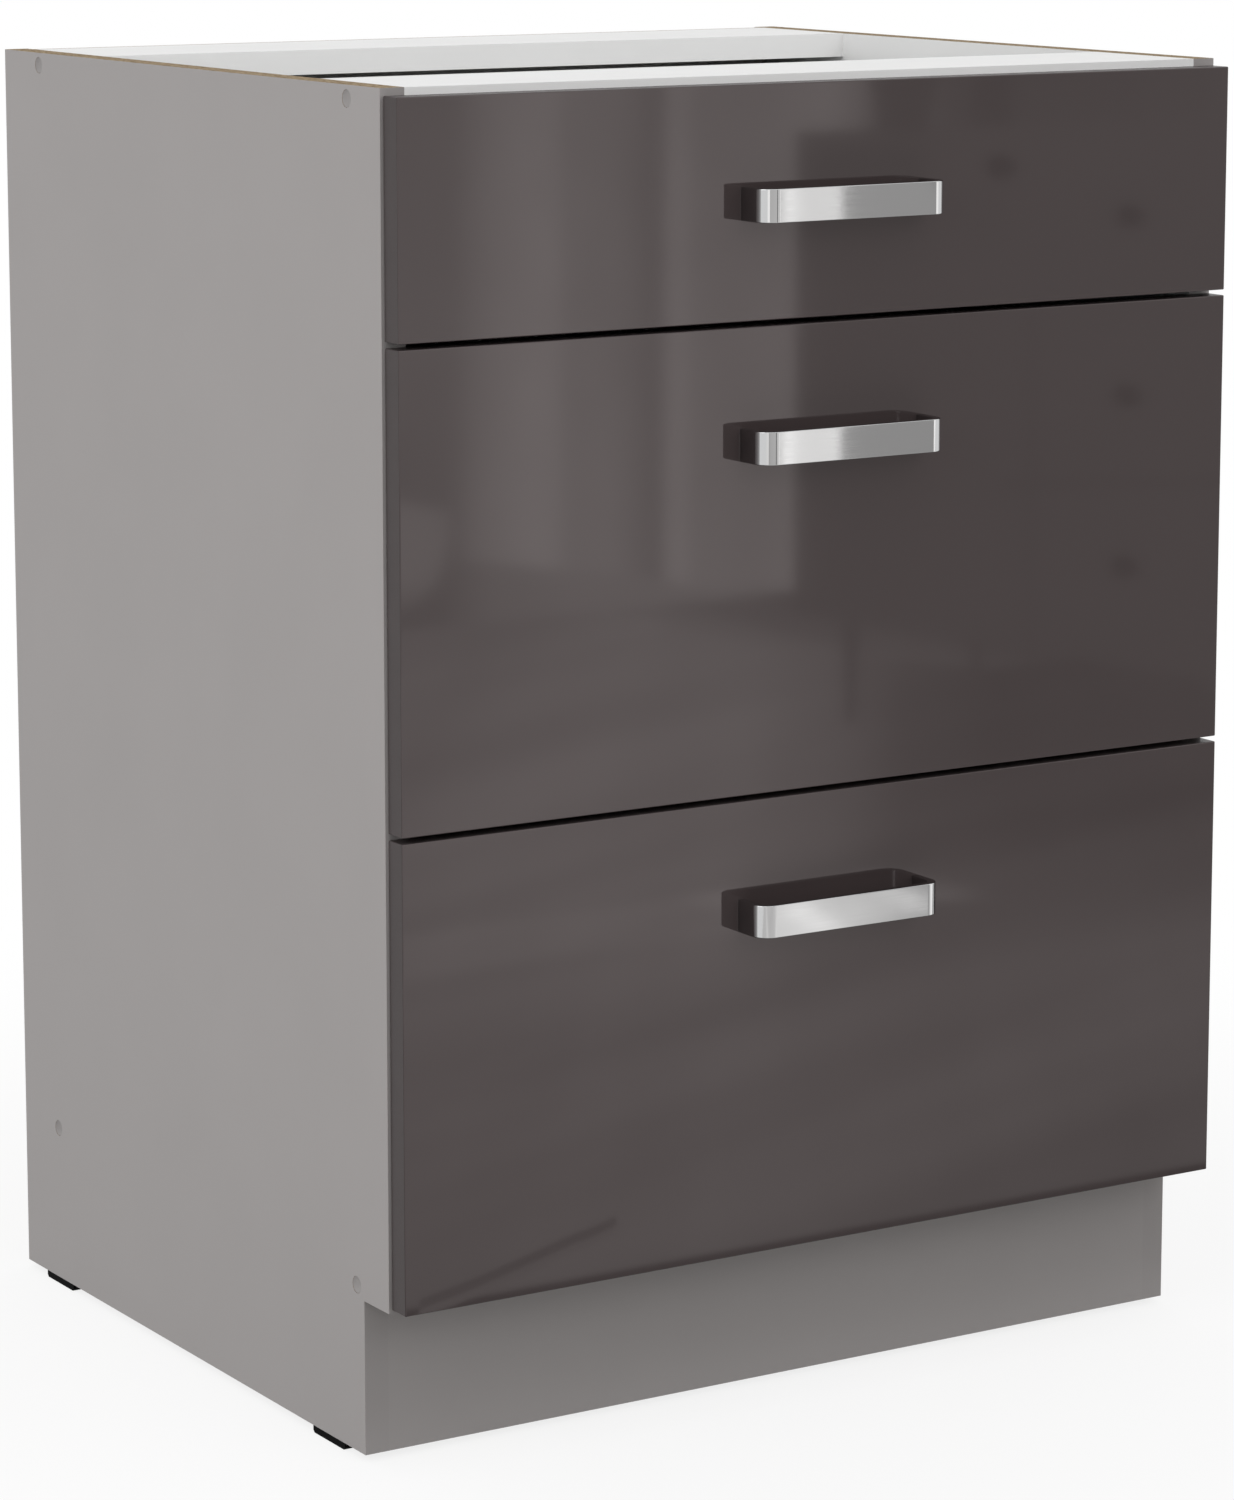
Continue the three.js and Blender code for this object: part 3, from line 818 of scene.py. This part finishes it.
def bar_handle_mesh(low, high):
    """A flat bar bent into a U: legs back to the front, round corners, softened edges."""
    outer = []
    inner = []
    steps = 20
    inside = HANDLE_CORNER - HANDLE_BAR
    quarter = 0.5 * math.pi
    for x, start in ((low.x + HANDLE_CORNER, 2 * quarter), (high.x - HANDLE_CORNER, 3 * quarter)):
        centre = Vector((x, low.y + HANDLE_CORNER, 0.0))
        for step in range(steps + 1):
            angle = start + quarter * step / steps
            way = Vector((math.cos(angle), math.sin(angle), 0.0))
            outer.append(centre + way * HANDLE_CORNER)
            inner.append(centre + way * inside)
    ends = [Vector((low.x, high.y, 0)), Vector((high.x, high.y, 0))]
    inner_ends = [Vector((low.x + HANDLE_BAR, high.y, 0)), Vector((high.x - HANDLE_BAR, high.y, 0))]
    loop = [ends[0], *outer, ends[1], inner_ends[1], *reversed(inner), inner_ends[0]]
    shape = bmesh.new()
    bottom = [shape.verts.new((v.x, v.y, low.z)) for v in loop]
    top = [shape.verts.new((v.x, v.y, high.z)) for v in loop]
    half = len(loop) // 2
    for index in range(half - 1):
        for ring, flip in ((bottom, True), (top, False)):
            corners = [ring[index], ring[index + 1], ring[-2 - index], ring[-1 - index]]
            shape.faces.new(corners[::-1] if flip else corners)
    for index, vert in enumerate(bottom):
        ahead = (index + 1) % len(bottom)
        shape.faces.new((vert, bottom[ahead], top[ahead], top[index]))
    bmesh.ops.recalc_face_normals(shape, faces=shape.faces)
    return mesh_of(shape)


def dress_handle(level):
    """A chrome bar handle, and the screws that hold it from behind the front."""
    node = f"{level}_handle"
    low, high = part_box(node)
    mesh = edged(plain(bar_handle_mesh(low, high), chrome), HANDLE_EDGE, 4, 50.0)
    piece(f"{level}_bar_handle", mesh, f"{level}_drawer", [node])
    half = (high.x - low.x - HANDLE_BAR) / 2
    first = (-half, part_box(f"{level}_front")[1].y, (low.z + high.z) / 2)
    screw = cross_head(4.0 * MM, 2.4 * MM, 2.0 * MM)
    heads = fasteners(screw, first, "+Y", steel, 2, (2 * half, 0, 0), seed=9)
    piece(f"{level}_handle_screws", heads, f"{level}_drawer")


def dress_box(level):
    """The drawer's base and back, its steel sides and the screws that hold them to the front."""
    body = f"{level}_drawer"
    for part in ("base", "back"):
        node = f"{level}_drawer_{part}"
        mesh = plain(merged_copy(node), drawer_board)
        piece(f"{level}_box_{part}", edged(mesh, BOARD_EDGE, 2), body, [node])
    screw = cross_head(3.2 * MM, 1.3 * MM, 1.3 * MM)
    tab_in, tab_up, screw_step = 28.0 * MM, 12.0 * MM, 28.0 * MM
    base_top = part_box(f"{level}_drawer_base")[1].z
    for label, sign in SIDES:
        node = f"{level}_drawer_side_{label}"
        tab_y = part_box(node)[0].y + SHEET
        mesh = edged(plain(merged_copy(node), drawer_coat), SHEET_EDGE, 2)
        piece(f"{level}_steel_side_{label}", mesh, body, [node])
        first = (sign * (inner_x - tab_in), tab_y, base_top + tab_up)
        heads = fasteners(screw, first, "+Y", steel, 2, (0, 0, screw_step), seed=3)
        piece(f"{level}_tab_screws_{label}", heads, body)


def dress_gallery(level):
    """The rod over a deep drawer's side, held in a plastic socket at each end."""
    rod = 4.0 * MM
    deep = 14.0 * MM
    soft = 1.0 * MM
    for label, _ in SIDES:
        node = f"{level}_gallery_rail_{label}"
        low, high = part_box(node)
        centre = ((low.x + high.x) / 2, low.y, (low.z + high.z) / 2)
        length = high.y - low.y
        socket = (high.z - low.z) / 2
        near_end = [
            (0.0, 0.0),
            (socket, 0.0),
            (socket, deep - 2.0 * soft),
            (socket - 0.3 * soft, deep - 0.8 * soft),
            (socket - soft, deep - 0.2 * soft),
            (socket - 1.6 * soft, deep),
            (rod, deep),
            (rod, deep - soft),
            (0.0, deep - soft),
        ]
        far_end = [(radius, length - distance) for radius, distance in near_end]
        start, end = deep - soft, length - deep + soft
        bar = [(0.0, start), (rod, start), (rod, end), (0.0, end)]
        shapes = ((near_end, socket_plastic), (far_end, socket_plastic), (bar, rail_coat))
        rail = joined([plain(turned(shape, centre, Y, 40), finish) for shape, finish in shapes])
        piece(f"{level}_gallery_rod_{label}", rail, f"{level}_drawer", [node])


for side_label, side_sign in SIDES:
    dress_side(side_label, side_sign)
dress_cross_board("bottom_board", "cabinet_floor", grey_edge_band)
dress_cross_board("top_rail_front", "front_rail", painted_light_white_edge_band)
dress_cross_board("top_rail_rear", "rear_rail", painted_light_white_edge_band)
dress_plinth()
dress_back()
dress_glides()
dress_carcass_screws()
dress_back_nails()
dress_runners()
dress_rollers()
for drawer_level in DRAWERS:
    dress_front(drawer_level)
    dress_handle(drawer_level)
    dress_box(drawer_level)
for drawer_level in DEEP_DRAWERS:
    dress_gallery(drawer_level)


# ---- Studio -------------------------------------------------------------------------------------


WORLD_LIGHT = 0.80
WHITE = (1.0, 1.0, 1.0, 1.0)
FLOOR_COLOUR = (0.95, 0.95, 0.95)
FLOOR_BOUNCE = (0.28, 0.28, 0.28)
FLOOR_SIZE = 20.0

# The floor's share of plain white: near the cabinet and far from it, and where it changes
FLOOR_WHITE = (0.82, 1.0)
FLOOR_FADE = (0.45, 1.2)

# How bright a reflection is that is itself seen in a reflection
SECOND_REFLECTION = 0.12


def looked_at(tree):
    """1 for what the camera sees, also in a mirror or through glass, and 0 for other rays."""
    path = add_node(tree, "ShaderNodeLightPath").outputs
    seen = path["Is Camera Ray"]
    for ray in ("Is Glossy Ray", "Is Transmission Ray"):
        either = add_node(tree, "ShaderNodeMath", {0: seen, 1: path[ray]}, operation="MAXIMUM")
        seen = either.outputs["Value"]
    return seen


def reflected_once(tree):
    """1 for what is seen directly or in one reflection, less for a reflection of a reflection."""
    depth = add_node(tree, "ShaderNodeLightPath").outputs["Glossy Depth"]
    fade = {"Value": depth, "From Min": 1.0, "From Max": 2.0, "To Min": 1.0, "To Max": SECOND_REFLECTION}
    return add_node(tree, "ShaderNodeMapRange", fade).outputs["Result"]


def make_world():
    """Soft light from all round; a white background where it is looked at or mirrored."""
    world = bpy.data.worlds.new("studio_air")
    bpy.context.scene.world = world
    world.use_nodes = True
    tree = world.node_tree
    tree.nodes.clear()
    light = add_node(tree, "ShaderNodeBackground", {"Color": WHITE, "Strength": WORLD_LIGHT})
    strength = reflected_once(tree)
    white = add_node(tree, "ShaderNodeBackground", {"Color": WHITE, "Strength": strength})
    both = {0: looked_at(tree), 1: light.outputs[0], 2: white.outputs[0]}
    chosen = add_node(tree, "ShaderNodeMixShader", both)
    add_node(tree, "ShaderNodeOutputWorld", {"Surface": chosen.outputs[0]})


def make_floor():
    """A pale floor that keeps the shadow near the cabinet and fades into the white background."""
    shape = bmesh.new()
    bmesh.ops.create_grid(shape, x_segments=1, y_segments=1, size=FLOOR_SIZE)
    floor = placed("studio_floor", mesh_of(shape))
    pale = Recipe("pale_floor", FLOOR_COLOUR, 0.9, Specular_IOR_Level=0.0)
    seen = looked_at(pale.tree)
    colours = {"A": (*FLOOR_BOUNCE, 1.0), "B": (*FLOOR_COLOUR, 1.0), "Factor": seen}
    pale.drive("Base Color", pale.add("ShaderNodeMix", colours, data_type="RGBA").outputs["Result"])
    away = pale.add("ShaderNodeVectorMath", {0: pale.place}, operation="LENGTH").outputs["Value"]
    fade = pale.between(away, *FLOOR_WHITE, *FLOOR_FADE, interpolation_type="SMOOTHSTEP")
    glow = pale.add("ShaderNodeEmission", {"Strength": 1.0})
    both = {0: pale.math("MULTIPLY", fade, seen), 1: pale.shader.outputs[0], 2: glow.outputs[0]}
    pale.show(pale.add("ShaderNodeMixShader", both).outputs[0])
    floor.data.materials.append(pale.material)


# ---- The room that the gloss mirrors ------------------------------------------------------------

# The room is drawn in the cabinet's plan, measured from the carcass's front edges
ROOM_WALL_Y = carcass_front_y - 2.629
SIDEBOARD_Y = carcass_front_y - 1.861

# The brightest stop that a card's profile can hold
BRIGHTEST = 2.0

# How far the light on the room's floor moves to the side for each metre away from the cabinet
LIGHT_SLANT = 0.7


class Glow(Nodes):
    """A plain light-giving material whose brightness may follow the place on the card."""

    def __init__(self, name, brightness=1.0):
        super().__init__(name)
        self.material.cycles.emission_sampling = "NONE"
        self.tree.nodes.remove(self.tree.nodes["Principled BSDF"])
        values = {0: brightness, 1: reflected_once(self.tree)}
        self.power = self.add("ShaderNodeMath", values, operation="MULTIPLY")
        light = {"Color": (1.0, 0.985, 0.975, 1.0), "Strength": self.power.outputs[0]}
        self.show(self.add("ShaderNodeEmission", light).outputs[0])

    def profile(self, axis, low, high, *stops):
        """Brightness along an axis, given as (place, brightness) between low and high."""
        split = self.add("ShaderNodeSeparateXYZ", {"Vector": self.place})
        along = self.between(split.outputs[axis], 0.0, 1.0, low, high)
        greys = [((at - low) / (high - low), (level / BRIGHTEST,) * 3) for at, level in stops]
        return self.math("MULTIPLY", self.ramp(along, *greys), BRIGHTEST)

    def waves(self, low, high, detail, scale, turn=0.0, **settings):
        """Soft noise between two brightnesses, stretched, and turned about the upright axis."""
        spread = {"Vector": self.place, "Rotation": (0.0, 0.0, turn), "Scale": scale}
        vector = self.add("ShaderNodeMapping", spread, **settings).outputs["Vector"]
        return self.between(self.noise(vector, detail), low, high)

    def blend(self, first, second, share):
        values = {"A": first, "B": second, "Factor": share}
        return self.add("ShaderNodeMix", values, data_type="FLOAT").outputs["Result"]

    def shine(self, *levels):
        """Makes the card as bright as all the levels, multiplied."""
        lit = levels[0]
        for level in levels[1:]:
            lit = self.math("MULTIPLY", lit, level)
        self.tree.links.new(lit, self.power.inputs[0])


def mirrored_only(name, mesh, material):
    """Puts a card in the room that shows in reflections and nowhere else."""
    mesh.materials.append(material)
    thing = placed(name, mesh)
    thing.visible_camera = False
    thing.visible_diffuse = False
    thing.visible_transmission = False
    thing.visible_volume_scatter = False
    thing.visible_shadow = False


def flat_card(corners):
    shape = bmesh.new()
    shape.faces.new([shape.verts.new(corner) for corner in corners])
    return mesh_of(shape)


def upright_card(y, outline):
    """A card that stands across the room, its outline given as (x, z)."""
    return flat_card([(x, y, z) for x, z in outline])


def level_card(z, outline):
    """A card that lies in the room, its outline given as (x, distance from the carcass's front).
    Where cards overlap, each lies a millimetre above the last."""
    return flat_card([(x, carcass_front_y + y, z) for x, y in outline])


def room_wall():
    """A wall with a tall window between pale curtains, painted darker far from the window and by the
    pot.
    """
    glow = Glow("room_wall")
    window = glow.profile(
        "X", 1.0, 2.6,
        (1.0, 0.84), (1.245, 0.84), (1.265, 1.05), (1.29, 1.24), (1.32, 1.38), (1.345, 1.48),
        (1.385, 1.52), (1.398, 1.18), (1.46, 1.18), (1.485, 1.07), (1.505, 0.93), (1.515, 0.80),
        (1.536, 0.76), (1.544, 1.52), (1.567, 1.52), (1.582, 1.14), (1.65, 1.10), (1.69, 1.12),
        (1.72, 1.26), (1.78, 1.30), (1.83, 0.98), (1.86, 0.38), (1.90, 0.42), (1.94, 0.60),
        (1.97, 0.45), (2.1, 0.44), (2.42, 0.47), (2.5, 1.35),
    )
    far_left = glow.profile(
        "X", -3.0, 1.2,
        (-1.98, 1.6), (-1.9, 0.7), (-1.78, 0.7), (-1.7, 0.84), (0.3, 0.9), (0.36, 0.88),
        (0.4, 0.22), (0.6, 0.22), (0.65, 1.12), (0.95, 1.08), (1.1, 1.0),
    )
    height = glow.profile("Z", 0.0, 0.8, (0.03, 1.08), (0.37, 1.03), (0.6, 0.96), (0.8, 0.95))
    # Painted shadow of the pot, darkening the wall low down beside it
    beside_pot = glow.profile("X", 1.1, 1.3, (1.1, 0.72), (1.225, 0.74), (1.275, 1.0))
    low_down = glow.profile("Z", 0.0, 0.4, (0.0, 1.0), (0.16, 0.85), (0.36, 0.0))
    shaded = glow.blend(1.0, beside_pot, low_down)
    leafy = glow.waves(0.95, 1.05, 4.0, (14.0, 1.0, 9.0))
    glow.shine(window, far_left, glow.math("MULTIPLY", height, shaded), leafy)
    outline = [(-3.2, 0.0), (5.0, 0.0), (5.0, 2.6), (-3.2, 2.6)]
    mirrored_only("room_wall", upright_card(ROOM_WALL_Y, outline), glow.material)


def room_wall_foot():
    """The foot of the wall, in the pot's painted shadow beside it; its top edge falls to the floor at
    the right.
    """
    foot = Glow("room_wall_foot")
    # Painted shadow of the pot, darkest next to it and fading to the right
    stops = ((1.1, 0.5), (1.215, 0.58), (1.245, 0.74), (1.285, 0.98), (1.33, 1.02), (1.4, 1.12))
    foot.shine(foot.profile("X", 1.1, 1.5, *stops))
    outline = [(0.9, 0.0), (1.9, 0.0), (1.64, 0.002), (1.514, 0.037), (1.387, 0.057), (1.277, 0.075)]
    outline += [(1.255, 0.078), (0.9, 0.078)]
    mirrored_only("room_wall_foot", upright_card(ROOM_WALL_Y + 0.01, outline), foot.material)


def room_floor():
    """The room's floor, light and shade painted: bright by the window, dark under the sideboard, with
    faint streaks.
    """
    glow = Glow("room_floor")
    straight = glow.place
    split = glow.add("ShaderNodeSeparateXYZ", {"Vector": straight})
    away = glow.math("SUBTRACT", split.outputs["Y"], carcass_front_y)
    across = glow.math("ADD", split.outputs["X"], glow.math("MULTIPLY", away, LIGHT_SLANT))
    glow.place = glow.add("ShaderNodeCombineXYZ", {"X": across, "Y": away}).outputs["Vector"]
    # Painted window light across the floor, and the sideboard's painted shadow where it is dark
    far = glow.profile(
        "X", -0.8, 0.8,
        (-0.8, 0.80), (-0.55, 0.86), (-0.42, 1.0), (-0.14, 0.98), (-0.04, 0.76), (0.05, 0.44),
        (0.18, 0.32), (0.46, 0.31), (0.62, 0.9), (0.8, 1.2),
    )
    near = glow.profile(
        "X", -0.8, 0.8,
        (-0.8, 0.72), (-0.42, 0.75), (-0.25, 0.82), (-0.19, 0.81), (-0.12, 0.85), (0.0, 0.72),
        (0.1, 0.67), (0.42, 0.61), (0.6, 1.1), (0.8, 1.3),
    )
    lit = glow.blend(far, near, glow.profile("Y", -3.0, 0.0, (-1.35, 0.0), (-0.88, 1.0)))
    # Painted shade where the floor meets the cabinet, darker over its last 30 cm or so
    cabinet_shade = glow.profile(
        "Y", -0.6, -0.2,
        (-0.6, 1.0), (-0.45, 0.96), (-0.325, 0.93), (-0.3165, 0.92), (-0.311, 0.84), (-0.3065, 0.58),
        (-0.302, 0.26),
    )
    # Faint painted streaks of light and shade across the floor
    streaks = glow.waves(0.96, 1.04, 2.0, (9.0, 1.2, 1.0), 0.12)
    glow.place = straight
    # Painted sheen: a bright patch on the floor where only the chrome bars mirror it
    sheen = glow.profile(
        "X", 0.6, 1.0,
        (0.66, 1.2), (0.70, 1.53), (0.72, 1.50), (0.747, 1.20), (0.777, 1.26), (0.806, 1.29),
        (0.821, 1.29), (0.836, 1.33), (0.85, 1.44), (0.88, 1.85), (0.93, 1.0),
    )
    sheen_row = glow.profile("Y", -1.6, -1.2, (-1.485, 0.0), (-1.455, 1.0), (-1.35, 1.0), (-1.31, 0.0))
    sheen = glow.blend(1.0, sheen, sheen_row)
    # Painted beams of window light slanting across the floor
    beams = glow.waves(0.9, 1.1, 1.0, (1.1, 0.13, 1.0), -0.363, vector_type="TEXTURE")
    glow.shine(lit, cabinet_shade, sheen, beams, streaks)
    outline = [(-1.2, -0.02), (3.4, -0.02), (3.4, -1.9), (1.6, -2.05), (1.479, -2.252), (1.466, -2.40)]
    outline += [(1.461, -2.567), (1.425, -2.691), (1.361, -2.774), (1.253, -2.79), (-1.2, -2.8)]
    mirrored_only("room_floor", level_card(0.002, outline), glow.material)


def room_floor_edge():
    """The darker end of the floor, in the sideboard's painted shadow, which lies under the floor proper
    and shows beyond it.
    """
    edge = Glow("room_floor_edge")
    # Painted shade under the sideboard, darker towards the right
    stops = ((1.51, 0.84), (1.56, 0.6), (1.63, 0.54), (1.67, 0.45), (1.71, 0.38))
    edge.shine(edge.profile("X", 1.4, 1.8, *stops))
    outline = [(-1.2, -2.3), (3.4, -1.7), (3.4, -3.2), (-1.2, -3.2)]
    mirrored_only("room_floor_edge", level_card(0.001, outline), edge.material)


def shifted(outline, x, y):
    return [(at_x + x, at_y + y) for at_x, at_y in outline]


def room_floor_dark_line():
    """A dark line across the floor, with a softer painted shade on the side nearer to the cabinet."""
    middle = [(0.087, -0.403), (0.065, -0.391), (0.026, -0.375), (-0.014, -0.355), (-0.054, -0.336)]
    middle += [(-0.084, -0.323), (-0.125, -0.307)]
    dark_line_outline = shifted(middle, 0.006, -0.01) + shifted(middle, -0.006, 0.01)[::-1]
    dark = Glow("room_floor_dark_line", 0.46).material
    mirrored_only("room_floor_dark_line", level_card(0.004, dark_line_outline), dark)
    beside = middle + shifted(middle, -0.014, 0.024)[::-1]
    soft = Glow("room_floor_shade", 0.74).material
    mirrored_only("room_floor_shade", level_card(0.003, beside), soft)


def room_sideboard():
    """A dark sideboard on thin legs: small round knobs, thin door lines, a vase and a box on top."""
    body = Glow("room_sideboard")
    # Painted shade: the sideboard's body darker towards the floor
    body.shine(body.profile("Z", 0.0, 0.7, (0.04, 0.40), (0.3, 0.43), (0.55, 0.46), (0.63, 0.47)))
    outline = [(1.215, 0.127), (1.762, 0.004), (1.87, 0.004), (1.87, 0.636), (1.215, 0.635)]
    mirrored_only("room_sideboard", upright_card(SIDEBOARD_Y, outline), body.material)
    line = Glow("room_sideboard_line", 0.33).material
    upright_line = [(1.517, 0.06), (1.523, 0.06), (1.523, 0.43), (1.517, 0.43)]
    level_line = [(1.473, 0.243), (1.87, 0.217), (1.87, 0.223), (1.473, 0.249)]
    for index, outline in enumerate((upright_line, level_line)):
        card = upright_card(SIDEBOARD_Y + 0.005, outline)
        mirrored_only(f"room_sideboard_line_{index}", card, line)
    knob = Glow("room_knob", 0.2).material
    dome = [(0.0, 0.0), (0.013, 0.0), (0.010, 0.02), (0.0, 0.024)]
    for index, (x, z) in enumerate(((1.473, 0.589), (1.649, 0.528), (1.649, 0.331), (1.649, 0.141))):
        mirrored_only(f"room_knob_{index}", turned(dome, (x, SIDEBOARD_Y, z), Y, 24), knob)
    leg = Glow("room_leg", 0.34).material
    for index, (x, y, top) in enumerate(((1.289, -1.862, 0.108), (1.494, -1.916, 0.07))):
        pole = [(0.0, 0.0), (0.005, 0.0), (0.009, top), (0.0, top)]
        foot = (x, carcass_front_y + y, 0.0)
        mirrored_only(f"room_leg_{index}", turned(pole, foot, segments=16), leg)
    vase = Glow("room_vase", 0.36).material
    profile = [(0.0, 0.0), (0.024, 0.0), (0.033, 0.04), (0.048, 0.08), (0.056, 0.13), (0.0, 0.13)]
    stand = (1.337, SIDEBOARD_Y + 0.02, 0.635)
    mirrored_only("room_vase", turned(profile, stand, segments=32), vase)
    box = Glow("room_box", 0.34).material
    outline = [(1.425, 0.635), (1.478, 0.635), (1.478, 0.78), (1.425, 0.78)]
    mirrored_only("room_box", upright_card(SIDEBOARD_Y + 0.02, outline), box)


def room_planter():
    """A pale round pot on the floor at the wall."""
    glow = Glow("room_planter")
    # Painted shade on the pot, darker on its right side and towards its foot
    side = glow.profile("X", 1.0, 1.2, (1.0, 1.14), (1.118, 1.14), (1.136, 0.8))
    height = glow.profile("Z", 0.0, 0.2, (0.07, 0.72), (0.105, 1.0))
    glow.shine(side, height)
    profile = [(0.0, 0.058), (0.07, 0.06), (0.096, 0.075), (0.111, 0.1), (0.118, 0.14), (0.12, 0.168)]
    pot = turned(profile + [(0.0, 0.168)], (1.023, ROOM_WALL_Y + 0.13, 0.0))
    mirrored_only("room_planter", pot, glow.material)


def make_room():
    """A quiet room in front of the cabinet, which only its gloss and chrome show; its cards glow, their
    light and shade painted.
    """
    room_wall()
    room_wall_foot()
    room_floor()
    room_floor_edge()
    room_floor_dark_line()
    room_sideboard()
    room_planter()


def lamp(name, place, aim, size, power, mirrored=True):
    """A square or oblong light at a place, turned to what it lights, that no camera ray shows."""
    data = bpy.data.lights.new(name, "AREA")
    data.shape = "RECTANGLE"
    data.size, data.size_y = size
    data.energy = power
    made = placed(name, data)
    made.location = place
    made.rotation_mode = "QUATERNION"
    made.rotation_quaternion = (Vector(aim) - Vector(place)).to_track_quat("-Z", "Y")
    made.visible_camera = False
    made.visible_glossy = mirrored


# The camera, fitted to the photograph: its focal length and shift are in the photograph's pixels
CAMERA_PLACE = Vector((-1.660, carcass_front_y - 2.442, 0.985))
CAMERA_TURN = math.radians(31.868)
CAMERA_DIP = math.radians(9.324)
FOCAL_PIXELS = 4920.0
PHOTO_HEIGHT = 1500.0
SENSOR = 36.0
SHIFT_PIXELS = -150.0


def make_camera():
    """The view of the photograph, turned to the right and slightly down."""
    data = bpy.data.cameras.new("camera")
    data.sensor_width = SENSOR
    data.lens = FOCAL_PIXELS * SENSOR / PHOTO_HEIGHT
    data.shift_y = SHIFT_PIXELS / PHOTO_HEIGHT
    data.clip_end = 100.0
    made = placed("camera", data)
    made.location = CAMERA_PLACE
    level = math.cos(CAMERA_DIP)
    right, ahead = math.sin(CAMERA_TURN) * level, math.cos(CAMERA_TURN) * level
    looks_at = Vector((right, ahead, -math.sin(CAMERA_DIP)))
    made.rotation_mode = "QUATERNION"
    made.rotation_quaternion = looks_at.to_track_quat("-Z", "Y")
    bpy.context.scene.camera = made


make_world()
make_floor()
make_room()
lamp("overhead", (0.0, -0.4, 3.2), (0.0, 0.0, 0.4), (3.0, 3.0), 2.0)
lamp("left_window", (-3.2, -0.6, 1.7), (0.0, 0.0, 0.5), (2.2, 2.2), 29.0)
lamp("front_fill", (0.6, -3.4, 2.3), (0.0, 0.0, 0.4), (2.4, 1.6), 15.0)
lamp("floor_reflector", (-0.05, -1.0, 0.05), (-0.05, -1.0, 1.0), (1.8, 1.08), 4.1, mirrored=False)
make_camera()
bpy.context.scene.view_settings.view_transform = "Standard"
